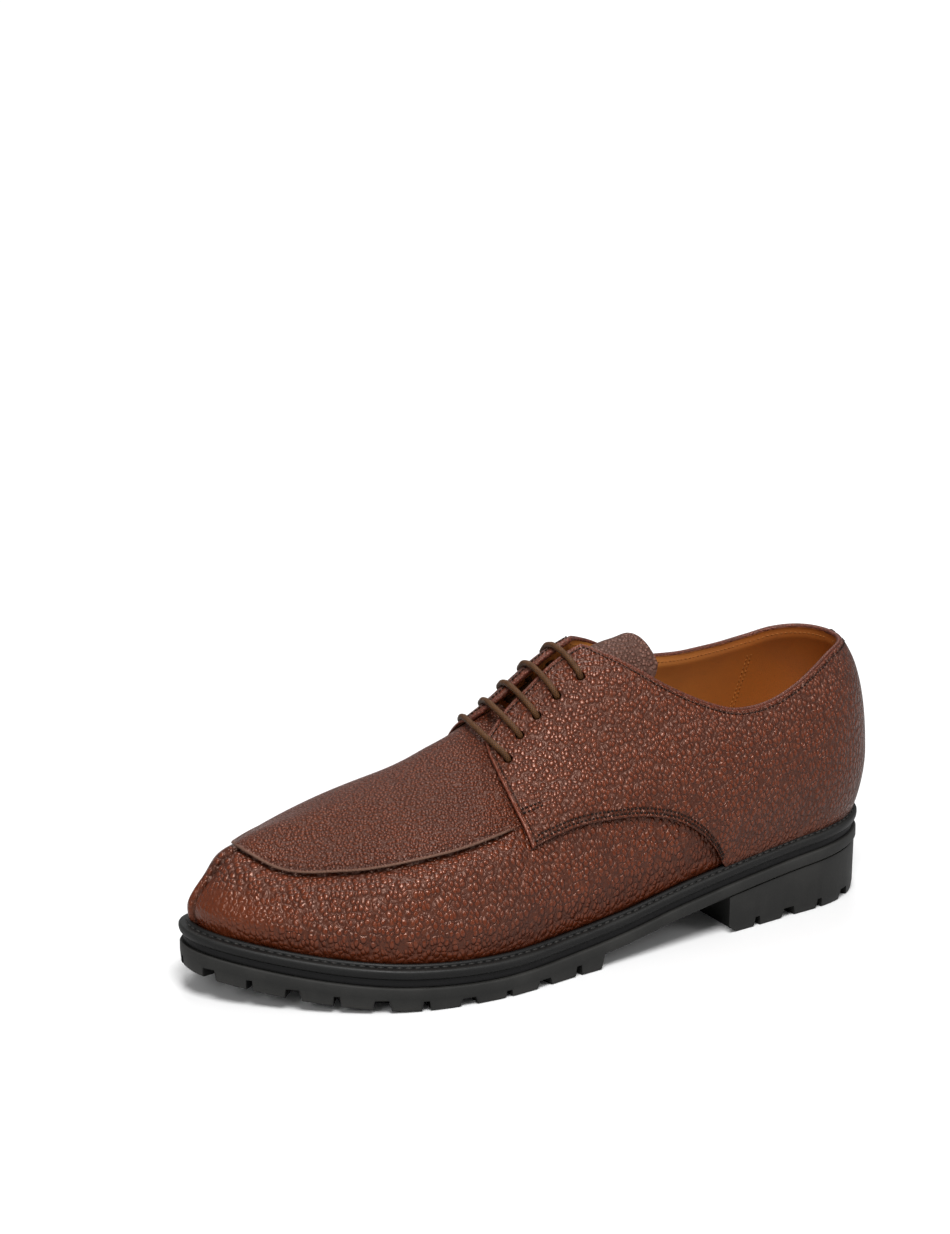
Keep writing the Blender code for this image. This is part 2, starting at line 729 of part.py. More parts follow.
def ground(s):
    if s < TREAD_REAR:
        return feather_height(s) - GAP - plate_low
    if s < 205.0:
        return 0.0
    return max(0.0, float(feather_height(s)) - GAP - plate_low - LUG_DEPTH)


tread_t = np.unique(np.concatenate([sole_t, ray_at(np.array([TREAD_REAR - 0.05, TREAD_REAR + 0.05]))]))
tread = all_round(tread_t)
outsole = add(stack([ring(tread, -1.0, ground), ring(tread, -0.1, below(plate_low - 1.0)),
                     ring(tread, -0.5, below(plate_top))]), "outsole", rubber, shoe)


# Tread: notches between the lugs round the edge, a channel inside them and bars across the middle
def edge_path(ts_sides, extra):
    return np.array([edge_ring(t, side, extra) for t, side in ts_sides])


def notch(bm, at, inward, deep, wide, narrow, top):
    """Wedge across the edge, wider at the ground."""
    along = np.array([-inward[1], inward[0]])
    verts = []
    for z, half in ((-3.0, 0.5 * wide), (top, 0.5 * narrow)):
        for reach, turn in ((-4.0, -1), (-4.0, 1), (deep, 1), (deep, -1)):
            x, y = at + inward * reach + along * half * turn
            verts.append((x, y, z))
    v = vertices(bm, [np.array(verts)])[0]
    for face in ((3, 2, 1, 0), (4, 5, 6, 7), (0, 1, 5, 4), (1, 2, 6, 5), (2, 3, 7, 6), (3, 0, 4, 7)):
        bm.faces.new([v[k] for k in face])


def notches(bm, path, first, pitch, top):
    """Notches at even steps along an edge path, narrow and wide by turns; top gives the height by station."""
    step = np.linalg.norm(np.diff(path, axis=0), axis=1)
    length = np.concatenate([[0.0], np.cumsum(step)])
    count_ = int((length[-1] - 2 * first) / pitch) + 1
    pitch = (length[-1] - 2 * first) / (count_ - 1)
    for i in range(count_):
        a_ = first + i * pitch
        at = np.array([np.interp(a_, length, path[:, k]) for k in (0, 1)])
        to = np.array([np.interp(a_ + 1.0, length, path[:, k]) for k in (0, 1)])
        back = np.array([np.interp(a_ - 1.0, length, path[:, k]) for k in (0, 1)])
        d = (to - back) / np.linalg.norm(to - back)
        inward = np.array([-d[1], d[0]])
        wide, narrow = (4.4, 2.4) if i % 2 == 0 else (9.4, 5.4)
        notch(bm, at, inward, 9.5, wide, narrow, top(at[0]))


def channel(bm, points, wide, low, top):
    """Closed channel round a loop of plan points, cut from below up to the given heights."""
    loop = np.asarray(points, float)
    middle = loop.mean(axis=0)
    away = loop - middle
    away = away / np.linalg.norm(away, axis=1)[:, None]
    rings_ = []
    for out, z in ((0.0, None), (0.0, top), (-wide, top), (-wide, None)):
        q = loop + away * out
        heights = np.full(len(q), low) if z is None else np.array([z(x) for x in loop[:, 0]])
        rings_.append(np.column_stack([q, heights]))
    grids = vertices(bm, rings_)
    n = len(loop)
    for lo, hi in zip(grids, grids[1:] + grids[:1]):
        for j in range(n):
            quad(bm, lo[j], lo[(j + 1) % n], hi[(j + 1) % n], hi[j])


def plate_under(s):
    return float(feather_height(s)) - GAP - plate_low


bm = bmesh.new()
fine = np.linspace(float(ray_at(TREAD_REAR)), 1.0, 60)
walk = [(t, -1) for t in fine] + [(t, 1) for t in fine[::-1][1:]]
notches(bm, edge_path(walk, -0.5), 12.0, 16.6, plate_under)
inner_t = np.linspace(float(ray_at(164.0)), float(ray_at(294.0)), 14)
loop = [edge_ring(t, -1, -13.0) for t in inner_t] + [edge_ring(t, 1, -13.0) for t in inner_t[::-1]]
channel(bm, loop, 4.5, -3.0, plate_under)
for s in (186.0, 208.0, 230.0, 252.0):
    y0 = edge_ring(float(ray_at(s)), -1, -15.5)[1]
    y1 = edge_ring(float(ray_at(s)), 1, -15.5)[1]
    notch(bm, np.array([s, y0 + 4.0]), np.array([0.0, 1.0]), y1 - y0 - 4.0, 5.0, 3.6, plate_under(s))
tread_cut = add(bm, "tread_cut", None, cutters)
cut(outsole, tread_cut, True)


# Heel block under the rear of the outsole
def heel_ring(extra, z, back):
    ts = np.linspace(0.0, float(ray_at(HEEL_FRONT - back)), 14)
    around = [(t, -1) for t in ts] + [(t, 1) for t in ts[::-1][:-1]]
    return ring(around, extra, z)


heel = add(stack([heel_ring(-1.6, lambda s: 0.0, HEEL_CHAMFER), heel_ring(-0.9, lambda s: 3.5, 0.0),
                  heel_ring(-0.7, below(plate_low + LAYER_GAP), 0.0)]), "heel", rubber, shoe)
bm = bmesh.new()
fine = np.linspace(float(ray_at(HEEL_FRONT - HEEL_CHAMFER)), 0.0, 40)
walk = [(t, -1) for t in fine] + [(t, 1) for t in fine[::-1][1:]]
heel_edge = edge_path(walk, -0.8)[::-1]
notches(bm, heel_edge, 11.0, 16.0, lambda s: LUG_DEPTH)
inner_t = np.linspace(0.12, float(ray_at(HEEL_FRONT - 14.0)), 10)
loop = [edge_ring(t, -1, -13.0) for t in inner_t] + [edge_ring(t, 1, -13.0) for t in inner_t[::-1]]
channel(bm, loop, 4.5, -3.0, lambda s: LUG_DEPTH)
heel_cut = add(bm, "heel_cut", None, cutters)
cut(heel, heel_cut, True)

for ob in cutters.objects:
    ob.hide_render = True
    ob.display_type = 'WIRE'
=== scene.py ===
# %% [markdown]
# # A left lace-up shoe, dressed over its frame
# A derby shoe with a split apron toe: grained brown leather drawn over a last, two quarters laced
# over a tongue, and a black rubber sole with lugs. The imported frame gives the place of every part.
# This lesson lays fine leather, thread, cord and rubber over it, in the frame's own metres.

# %% Load the frame
import math

import bmesh
import bpy
import numpy as np
from mathutils import Matrix, Vector


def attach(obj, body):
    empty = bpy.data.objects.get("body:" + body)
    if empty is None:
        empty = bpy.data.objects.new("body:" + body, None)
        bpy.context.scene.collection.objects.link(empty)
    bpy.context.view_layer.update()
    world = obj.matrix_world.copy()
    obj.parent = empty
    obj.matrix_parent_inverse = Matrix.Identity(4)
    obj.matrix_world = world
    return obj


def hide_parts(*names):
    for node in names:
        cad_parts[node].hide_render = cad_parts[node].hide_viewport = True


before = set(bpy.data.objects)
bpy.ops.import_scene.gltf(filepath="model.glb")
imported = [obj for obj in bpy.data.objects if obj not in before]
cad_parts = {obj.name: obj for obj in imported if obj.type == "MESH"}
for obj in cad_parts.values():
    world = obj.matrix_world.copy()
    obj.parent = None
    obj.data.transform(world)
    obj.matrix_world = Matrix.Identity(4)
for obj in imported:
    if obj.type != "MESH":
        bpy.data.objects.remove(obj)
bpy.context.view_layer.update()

MM = 0.001
print("nodes in the frame:", sorted(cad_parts))

# %% [markdown]
# ## Camera
# The shoe is seen from its toe, turned about thirty degrees and from a little above. A long lens at
# 1.1 m keeps the perspective mild. Lens shift puts the shoe low in the upright picture without
# tilting the camera, so the angle stays the real one.

# %% Camera
PICTURE = (950, 1234)
TURN, RISE, DISTANCE = math.radians(-29.7), math.radians(20.0), 1.10
AIM = Vector((-0.00143, -0.00035, 0.040))
AIM_PIXEL = (540.3, 843.5)
PIXELS_PER_METRE = 2440.0

camera_data = bpy.data.cameras.new("camera")
camera = bpy.data.objects.new("camera", camera_data)
bpy.context.scene.collection.objects.link(camera)
away = Vector((math.sin(TURN) * math.cos(RISE), -math.cos(TURN) * math.cos(RISE), math.sin(RISE)))
camera.location = AIM + away * DISTANCE
camera.rotation_euler = (-away).to_track_quat("-Z", "Y").to_euler()
camera_data.sensor_width = 36.0
camera_data.lens = PIXELS_PER_METRE * DISTANCE / max(PICTURE) * camera_data.sensor_width
camera_data.shift_x = (0.5 * PICTURE[0] - AIM_PIXEL[0]) / max(PICTURE)
camera_data.shift_y = (AIM_PIXEL[1] - 0.5 * PICTURE[1]) / max(PICTURE)
camera_data.dof.use_dof = False
bpy.context.scene.camera = camera
print("lens", round(camera_data.lens, 1), "mm")

# %% [markdown]
# ## The last
# A shoemaker's last is the wooden foot that the leather is pulled over. Its plan is the feather
# line, where upper and sole meet. From each point of that line a ray runs to the middle line, and a
# section curve climbs over it: wall, shoulder, ridge. The frame's solids come from this same
# function, so leather that is laid on it with a small offset always fits. Sizes are millimetres,
# stations run from the heel to the toe.

# %% Sizes of the last
X_MID, Y_MID = 151.07, 0.35
FEATHER_HEEL, FEATHER_TOE = 5.0, 298.0
HEEL_ROUND, HEEL_POWER = 36.0, 2.25
TOE_ROUND, TOE_POWER = 64.0, 2.25
HEEL_FAN, HEEL_FAN_LONG = 36.0, 95.0
TOE_FAN, TOE_FAN_START = 52.0, 190.0
BULGE, SHOULDER = 0.2, 0.5

# station, lateral, medial, middle line
OUTLINE = np.array([
    (0.0, 27.0, 29.0, 0.0), (40.0, 30.5, 31.5, 0.8), (80.0, 35.5, 31.0, 4.0), (120.0, 39.0, 31.0, 9.0),
    (160.0, 42.5, 35.0, 12.0), (200.0, 47.0, 43.5, 12.8), (230.0, 43.0, 47.5, 12.8),
    (260.0, 31.0, 46.0, 13.4), (285.0, 18.0, 44.0, 15.0), (305.0, 8.0, 40.0, 16.5)])

# station, feather, out lateral, out medial, bulge up, in lateral, in medial, up lateral, up medial, ridge
LAST = np.array([
    (5.0, 36.5, 5.0, 5.0, 26.0, 5.5, 5.5, 73.0, 73.0, 125.0),
    (40.0, 34.3, 4.0, 4.8, 26.0, 6.0, 4.5, 64.2, 68.2, 128.0),
    (80.0, 30.3, 2.5, 5.2, 22.0, 8.5, 1.5, 62.2, 66.2, 129.5),
    (110.0, 25.8, 2.0, 5.5, 18.5, 11.0, -1.0, 61.2, 65.2, 127.2),
    (140.0, 20.3, 2.0, 5.0, 16.5, 14.0, -1.5, 59.2, 61.0, 116.2),
    (170.0, 17.2, 2.0, 3.8, 14.5, 14.0, -1.0, 47.8, 52.0, 95.3),
    (200.0, 16.3, 2.0, 2.5, 13.0, 14.0, 0.5, 41.7, 43.2, 79.8),
    (230.0, 17.5, 2.0, 2.0, 12.5, 14.0, 0.5, 37.0, 38.0, 70.0),
    (260.0, 20.3, 2.0, 2.0, 11.0, 14.0, 2.5, 30.7, 31.8, 63.0),
    (284.0, 24.0, 1.5, 1.5, 10.0, 14.5, 10.0, 26.9, 28.3, 58.7),
    (298.0, 26.8, 0.8, 0.8, 9.0, 18.3, 18.3, 29.2, 29.2, 57.0)])
print("last from station", FEATHER_HEEL, "to", FEATHER_TOE)


# %% The last as a function
def column(table, k, s):
    """Smooth curve through column k of a table."""
    x, y = table[:, 0], table[:, k]
    dx = np.diff(x)
    d = np.diff(y) / dx
    m = np.empty_like(y)
    m[1:-1] = (d[:-1] * dx[1:] + d[1:] * dx[:-1]) / (x[2:] - x[:-2])
    m[0], m[-1] = d[0], d[-1]
    s = np.clip(np.asarray(s, float), x[0], x[-1])
    i = np.clip(np.searchsorted(x, s, side="right") - 1, 0, len(x) - 2)
    h = x[i + 1] - x[i]
    t = (s - x[i]) / h
    return ((1 + 2 * t) * (1 - t) ** 2 * y[i] + t * (1 - t) ** 2 * h * m[i]
            + t * t * (3 - 2 * t) * y[i + 1] + t * t * (t - 1) * h * m[i + 1])


def sided(table, k, side, s):
    """Column k of a table where side is lateral, the next column where it is medial."""
    return np.where(np.asarray(side) < 0, column(table, k, s), column(table, k + 1, s))


def smooth(x):
    """Soft step from 0 to 1."""
    x = np.clip(x, 0.0, 1.0)
    return x * x * (3.0 - 2.0 * x)


def station(t):
    """Station of ray t: 0 at the heel, 1 at the toe, close set at both ends."""
    return FEATHER_HEEL + (FEATHER_TOE - FEATHER_HEEL) * (0.5 - 0.5 * np.cos(np.pi * np.asarray(t, float)))


def ray_at(s):
    """Ray of a station, the reverse of station()."""
    q = (np.asarray(s, float) - FEATHER_HEEL) / (FEATHER_TOE - FEATHER_HEEL)
    return np.arccos(1.0 - 2.0 * np.clip(q, 0.0, 1.0)) / np.pi


def feather(t, side):
    """Plan point of the feather line; side -1 is lateral, +1 medial."""
    s = station(t)
    a = np.clip((FEATHER_HEEL + HEEL_ROUND - s) / HEEL_ROUND, 0, 1)
    b = np.clip((s - FEATHER_TOE + TOE_ROUND) / TOE_ROUND, 0, 1)
    ends = (1 - a ** HEEL_POWER) ** (1 / HEEL_POWER) * (1 - b ** TOE_POWER) ** (1 / TOE_POWER)
    mid = column(OUTLINE, 3, s)
    edge = np.where(np.asarray(side) < 0, -column(OUTLINE, 1, s), column(OUTLINE, 2, s))
    return s, mid + (edge - mid) * ends


def foot(s):
    """Where the ray from feather station s ends on the middle line; rays fan at both ends."""
    heel = HEEL_FAN * (1 - smooth((s - FEATHER_HEEL) / HEEL_FAN_LONG))
    return s + heel - TOE_FAN * smooth((s - TOE_FAN_START) / (FEATHER_TOE - TOE_FAN_START))


def hermite(p, q, m, n, t):
    """Curve from p to q that leaves along m and arrives along n."""
    t = t[..., None]
    return ((1 + 2 * t) * (1 - t) ** 2 * p + t * (1 - t) ** 2 * m
            + t * t * (3 - 2 * t) * q + t * t * (t - 1) * n)


def pair(a, b):
    return np.stack(np.broadcast_arrays(a, b), -1)


def together(*values):
    """The values as arrays of one shape."""
    return np.broadcast_arrays(*[np.asarray(value, float) for value in values])


def on_last(t, side, v):
    """Point of the last at ray t and height v: 0 feather, then BULGE, SHOULDER, and 1 on the ridge."""
    t, side, v = together(t, side, v)
    s, y = feather(t, side)
    g = foot(s)
    gy = column(OUTLINE, 3, g)
    rho = np.hypot(s - g, y - gy)
    ux, uy = (s - g) / rho, (y - gy) / rho
    zf, up = column(LAST, 1, s), column(LAST, 4, s)
    out, inn, top = (sided(LAST, k, side, s) for k in (2, 5, 7))
    ridge = column(LAST, 9, g)
    slope = (column(LAST, 9, g + 0.5) - column(LAST, 9, g - 0.5)) * ux
    f, w = pair(rho, zf), pair(rho + out, zf + up)
    a, r = pair(rho - inn, zf + top), pair(0.0 * rho, ridge)
    wa = np.linalg.norm(a - w, axis=-1)[..., None]
    ar = np.linalg.norm(r - a, axis=-1)[..., None]
    along = (r - w) / np.linalg.norm(r - w, axis=-1)[..., None]
    end = pair(-np.ones_like(rho), -slope)
    end = end / np.linalg.norm(end, axis=-1)[..., None]
    rise = pair(-0.25 * inn, 0.55 * top)
    swell = rise * (0.9 * up / (top - up))[..., None]
    first = hermite(f, w, pair(2.2 * out, up), swell, np.clip(v / BULGE, 0, 1))
    second = hermite(w, a, rise, along * wa, np.clip((v - BULGE) / (SHOULDER - BULGE), 0, 1))
    third = hermite(a, r, along * ar, end * ar, np.clip((v - SHOULDER) / (1 - SHOULDER), 0, 1))
    p = np.where((v < BULGE)[..., None], first, np.where((v < SHOULDER)[..., None], second, third))
    return np.stack([g + ux * p[..., 0], gy + uy * p[..., 0], p[..., 1]], -1)


def normal(t, side, v):
    """Outward normal of the last, taken just short of the ridge, where the toe's rays meet."""
    t, side, v = together(t, side, v)
    e = 2e-4
    t = np.clip(t, 3 * e, 1 - 3 * e)
    v = np.minimum(v, 0.985)
    dv = on_last(t, side, v + e) - on_last(t, side, np.maximum(v - e, 0))
    dt = on_last(t + e, side, v) - on_last(t - e, side, v)
    n = np.cross(dv, dt) * side[..., None]
    return n / np.maximum(np.linalg.norm(n, axis=-1, keepdims=True), 1e-9)


def leather(t, side, v, off):
    """Point at distance off outside the last."""
    return on_last(t, side, v) + normal(t, side, v) * np.asarray(off, float)[..., None]


def to_world(points):
    """From the last's millimetres to the frame's metres."""
    p = np.asarray(points, float).reshape(-1, 3)
    return np.stack([X_MID - p[:, 0], p[:, 1] - Y_MID, p[:, 2]], -1) * MM


BALL_STATION = 200.0
ball = [float(on_last(ray_at(BALL_STATION), side, BULGE)[1]) for side in (-1, 1)]
print("ball of the foot is", round(ball[1] - ball[0]), "mm wide")

# %% [markdown]
# ## Where the leather is cut
# The quarters end at the collar above, at the facings in front and at a curved seam below. Each
# line is known by a few stations. Solving once, on many rays, for the height where the last reaches
# the line turns the lines into two limits that every later piece can look up.

# %% Lines of the pattern
# station, height lateral, height medial
COLLAR = np.array([
    (0.0, 110.0, 110.0), (8.0, 109.8, 110.3), (19.5, 107.8, 108.7), (30.5, 103.6, 105.8), (44.0, 97.9, 103.8),
    (56.0, 94.3, 103.0), (67.5, 92.9, 102.5), (78.0, 93.5, 103.0), (87.5, 96.5, 103.8), (96.7, 100.5, 105.2),
    (107.3, 106.5, 110.5), (115.6, 112.1, 114.8), (123.3, 116.6, 117.8), (129.3, 119.2, 119.8),
    (140.0, 123.5, 124.0)])
# station, half width lateral, half width medial
THROAT = np.array([
    (122.0, 8.0, 6.0), (130.0, 5.8, 2.8), (143.0, 5.6, 1.5), (154.0, 6.6, 1.6), (165.0, 7.4, 2.6),
    (172.0, 10.2, 4.2), (178.7, 13.4, 6.2), (200.0, 21.0, 13.0)])
# station, height over the feather line
SEAM = np.array([
    (86.5, 0.0), (88.2, 2.2), (91.5, 8.3), (98.0, 17.3), (107.0, 25.7), (120.0, 33.2), (128.6, 36.4),
    (141.6, 39.2), (154.2, 40.3), (167.4, 39.0), (178.8, 37.2), (190.0, 35.5)])
# share of the way up, station of the front edge
QUARTER_FRONT = ((0.0, 178.2), (0.34, 179.6), (0.64, 180.2), (0.87, 179.8), (1.0, 178.2))
QUARTER_FOOT, FOOT_CLEAR, MEDIAL_BACK = 178.2, 1.2, 2.0
COLLAR_END, FACING_START = 140.0, 110.0

MANY = np.linspace(0.0, 1.0, 601)
HEIGHTS = np.linspace(0.0, 1.0, 401)


def height_reaching(side, z):
    """For each of the many rays, the height v where its section first reaches z."""
    rise = on_last(MANY[:, None], side, HEIGHTS[None, :])[..., 2]
    k = np.where((rise >= z[:, None]).any(1), np.argmax(rise >= z[:, None], 1), len(HEIGHTS) - 1)
    k = np.maximum(k, 1)
    row = np.arange(len(MANY))
    low, high = rise[row, k - 1], rise[row, k]
    part = np.clip((z - low) / np.maximum(high - low, 1e-6), 0, 1)
    return HEIGHTS[k - 1] + part * (HEIGHTS[k] - HEIGHTS[k - 1])


def height_beside(t, side, h):
    """Height v where the section at ray t lies h away, in plan, from the middle line."""
    v = np.linspace(0.3, 1.0, 301)
    p = on_last(t, side, v)
    g = foot(station(t))
    d = np.hypot(p[:, 0] - g, p[:, 1] - column(OUTLINE, 3, g))
    return float(np.interp(-h, -d, v))


def pattern_limits(side):
    """Heights of the lower seam and of collar and facing, on each of the many rays."""
    k = 1 if side < 0 else 2
    s = station(MANY)
    top = np.where(s < COLLAR_END, height_reaching(side, column(COLLAR, k, s)), 1.0)
    beside = np.array([height_beside(t, side, float(column(THROAT, k, q))) if q > FACING_START else 1.0
                       for t, q in zip(MANY, s)])
    up = column(SEAM, 1, s + (MEDIAL_BACK if side > 0 else 0.0))
    return height_reaching(side, column(LAST, 1, s) + np.maximum(up, FOOT_CLEAR)), np.minimum(top, beside)


def line_height(line, t, side):
    """Height at rays t of a line that is known on the many rays of each side."""
    return np.where(side < 0, np.interp(t, MANY, line[-1]), np.interp(t, MANY, line[1]))


LIMITS = {side: pattern_limits(side) for side in (-1, 1)}
TOP_LINE = {side: LIMITS[side][1] for side in (-1, 1)}
print("collar height at the heel:", round(float(LIMITS[-1][1][0]), 3), "of the section")

# %% [markdown]
# ## Laying a hide on the last
# A flat grid is the hide on the cutting table. Carrying each corner of the grid to its spot on the
# last is what pulling the leather over does. Marks that the finish needs later, such as how far a
# spot lies from a cut edge, ride along as attributes of the mesh. Solidify then gives the hide its
# thickness and lets the cut edge take a finish of its own.


# %% Hide helpers
INSIDE_Y, INSIDE_Z = 0.009, 0.045


def both_sides(count):
    """Sides of a run that goes out along the lateral side and comes back along the medial one."""
    return np.concatenate([-np.ones(count), np.ones(count - 1)])


def there_and_back(values):
    """Rays or heights of such a run, which turns at the last value."""
    return np.concatenate([values, values[::-1][1:]])


def finer(start, change, stop, coarse, fine):
    """Even values from start to change, then closer ones to stop."""
    return np.concatenate([np.linspace(start, change, coarse), np.linspace(change, stop, fine)[1:]])


def draped(spots, **marks):
    """Lay a flat grid over the given spots (rows x columns x 3, in the last's millimetres)."""
    rows, cols = spots.shape[:2]
    bm = bmesh.new()
    layers = {name: bm.verts.layers.float.new(name) for name in marks}
    bmesh.ops.create_grid(bm, x_segments=cols - 1, y_segments=rows - 1, size=1.0)
    place = to_world(spots)
    for v in bm.verts:
        k = round((v.co.y + 1) / 2 * (rows - 1)) * cols + round((v.co.x + 1) / 2 * (cols - 1))
        v.co = place[k]
        for name, layer in layers.items():
            v[layer] = float(marks[name].flat[k])
    return bm


def close_up(bm, reach=0.02):
    """Merge the seams and poles of a draped grid."""
    bmesh.ops.remove_doubles(bm, verts=bm.verts, dist=reach * MM)
    bmesh.ops.dissolve_degenerate(bm, edges=bm.edges, dist=0.002 * MM)


def face_outwards(bm, sense=1.0):
    """Turn all faces away from the inside of the shoe, or towards it for sense -1."""
    bm.normal_update()
    total = 0.0
    for f in bm.faces:
        c = f.calc_center_median()
        total += f.calc_area() * f.normal.dot(Vector((0.0, c.y - INSIDE_Y, c.z - INSIDE_Z)))
    if total * sense < 0:
        bmesh.ops.reverse_faces(bm, faces=bm.faces)


def piece(bm, name, finishes, thick=0.0):
    """Turn a bmesh into a smooth piece that rides on the shoe's one body."""
    bm.normal_update()
    mesh = bpy.data.meshes.new(name)
    bm.to_mesh(mesh)
    bm.free()
    ob = bpy.data.objects.new(name, mesh)
    bpy.context.scene.collection.objects.link(ob)
    for finish in finishes:
        mesh.materials.append(finish)
    mesh.polygons.foreach_set("use_smooth", [True] * len(mesh.polygons))
    if thick:
        wall = ob.modifiers.new("thickness", 'SOLIDIFY')
        wall.thickness = thick * MM
        wall.offset = -1.0
        wall.material_offset = 1
        wall.material_offset_rim = 2
    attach(ob, "root")
    print(name, len(mesh.polygons), "faces")
    return ob


def run_along(points, axis):
    """Distance along the rows or columns of a grid of spots, or along one path."""
    step = np.linalg.norm(np.diff(points, axis=axis), axis=-1)
    zero = np.zeros_like(np.take(step, [0], axis))
    return np.concatenate([zero, np.cumsum(step, axis)], axis)


print("hide helpers ready")

# %% [markdown]
# ## Finishes
# Several leathers share one effect, the pebbled grain, so it is a node group that each material
# places with its own cell size. The group gives out only a height and a tone. The shader stays in
# the material, and what is the same all over is set on its sockets.


# %% Node helpers
def put(tree, kind, inputs=None, **settings):
    """Add a node; an input given as a socket is linked, anything else is its value."""
    node = tree.nodes.new(kind)
    for key, value in settings.items():
        setattr(node, key, value)
    for key, value in (inputs or {}).items():
        if isinstance(value, bpy.types.NodeSocket):
            tree.links.new(value, node.inputs[key])
        else:
            node.inputs[key].default_value = value
    return node


def calc(tree, operation, a, b=0.0):
    return put(tree, 'ShaderNodeMath', {0: a, 1: b}, operation=operation).outputs[0]


def times(tree, a, b):
    return calc(tree, 'MULTIPLY', a, b)


def less(tree, a, b):
    return calc(tree, 'SUBTRACT', a, b)


def vector(tree, operation, a, b):
    return put(tree, 'ShaderNodeVectorMath', {0: a, 1: b}, operation=operation).outputs[0]


def noise(tree, place, scale, detail):
    return put(tree, 'ShaderNodeTexNoise', {"Vector": place, "Scale": scale, "Detail": detail}).outputs[0]


def mark(tree, name):
    """A mark that the mesh carries."""
    return put(tree, 'ShaderNodeAttribute', attribute_name=name).outputs["Fac"]


def fade(tree, value, start, stop, low=0.0, high=1.0):
    """Soft step from low to high while value goes from start to stop."""
    inputs = {"Value": value, "From Min": start, "From Max": stop, "To Min": low, "To Max": high}
    return put(tree, 'ShaderNodeMapRange', inputs, interpolation_type='SMOOTHSTEP').outputs[0]


def tint(tree, amount, a, b):
    """Colour a where amount is 0, colour b where it is 1."""
    return put(tree, 'ShaderNodeMix', {0: amount, 6: a, 7: b}, data_type='RGBA').outputs[2]


def rgb(*steps):
    """A colour given in ordinary 0 to 255 steps, as the linear colour that Blender computes with."""
    return (*[((c / 255.0 + 0.055) / 1.055) ** 2.4 if c > 10 else c / 3294.6 for c in steps], 1.0)


def new_finish(name, specular=0.5):
    """A material with its tree, its shader and the piece's own coordinates."""
    m = bpy.data.materials.new(name)
    m.use_nodes = True
    tree = m.node_tree
    shader = tree.nodes["Principled BSDF"]
    shader.inputs["Specular IOR Level"].default_value = specular
    return m, tree, shader, put(tree, 'ShaderNodeTexCoord').outputs["Object"]


def connect(tree, shader, colour, rough, height=None, strength=1.0, depth=0.0):
    """Wire colour, roughness and, where there is a height, relief of the given depth in metres."""
    tree.links.new(colour, shader.inputs["Base Color"])
    tree.links.new(rough, shader.inputs["Roughness"])
    if height is not None:
        bump = put(tree, 'ShaderNodeBump', {"Height": height, "Strength": strength, "Distance": depth})
        tree.links.new(bump.outputs[0], shader.inputs["Normal"])


def effect_group(name, inputs, outputs):
    """An empty node group with named sockets, its input node and its output node."""
    group = bpy.data.node_groups.new(name, 'ShaderNodeTree')
    for label, kind in inputs:
        group.interface.new_socket(label, in_out='INPUT', socket_type=kind)
    for label, kind in outputs:
        group.interface.new_socket(label, in_out='OUTPUT', socket_type=kind)
    return group, group.nodes.new('NodeGroupInput'), group.nodes.new('NodeGroupOutput')


print("node helpers ready")

# %% [markdown]
# ### Pebbled grain
# Shrunken hides show small domes parted by fine valleys. A Voronoi texture has exactly that plan:
# its distance to the nearest cell point makes the dome, its distance to the cell edge the valley.
# A little noise in the place it is read from keeps the cells from looking like a mosaic.

# %% Pebbled grain group
VECTOR, FLOAT = 'NodeSocketVector', 'NodeSocketFloat'
pebbled, enter, leave = effect_group(
    "pebbled_grain", [("Place", VECTOR), ("Cells", VECTOR)],
    [("Height", FLOAT), ("Tone", FLOAT)])
scaled = vector(pebbled, 'MULTIPLY', enter.outputs["Place"], enter.outputs["Cells"])
wobble = put(pebbled, 'ShaderNodeTexNoise', {"Vector": scaled, "Scale": 0.45, "Detail": 2.0}).outputs["Color"]
moved = vector(pebbled, 'ADD', scaled, vector(pebbled, 'MULTIPLY', wobble, (0.9, 0.9, 0.9)))
near = put(pebbled, 'ShaderNodeTexVoronoi', {"Vector": moved, "Scale": 1.0, "Smoothness": 0.25},
           feature='SMOOTH_F1')
rim = put(pebbled, 'ShaderNodeTexVoronoi', {"Vector": moved, "Scale": 1.0}, feature='DISTANCE_TO_EDGE')
fall = fade(pebbled, near.outputs["Distance"], 0.0, 0.75)
dome = less(pebbled, 1.0, times(pebbled, fall, fall))
valley = fade(pebbled, rim.outputs["Distance"], 0.0, 0.16, 1.0, 0.0)
raised = less(pebbled, dome, times(pebbled, valley, 0.35))
tone = put(pebbled, 'ShaderNodeSeparateColor', {0: near.outputs["Color"]}).outputs[0]
pebbled.links.new(raised, leave.inputs["Height"])
pebbled.links.new(tone, leave.inputs["Tone"])
print("grain group with", len(pebbled.nodes), "nodes")

# %% [markdown]
# ### Leather
# The hide is dyed red-brown, with painted shade darkening the valleys, a little lighter on some pebbles,
# cloudy over larger patches. Five marks of the pieces steer it. `edge` is the distance to a folded edge,
# which is redder and smooth, with a pressed line where the thread runs, its groove darkened as painted shade,
# and
# `low` is the distance to the lower seam with its two rows. `burnish` is where the maker polished the toe and
# the foot of the wall with darker wax, `raw` is a cut lip, and the fifth mark is painted shade: in the
# grooves beside seams and lips, in the creases by the welt, at the edges where pieces overlap and round the
# heel.


# %% Leather finish
# The first colour is the brown of painted shade in grooves, creases and at overlaps; the second is cut
# fibres.
SHADE_BROWN, FIBRES = rgb(34, 17, 11), rgb(92, 66, 54)
WARM_SHINE = (1.0, 0.66, 0.54, 1.0)
THREAD_INSET, FOOT_ROWS = 2.4, 2.7


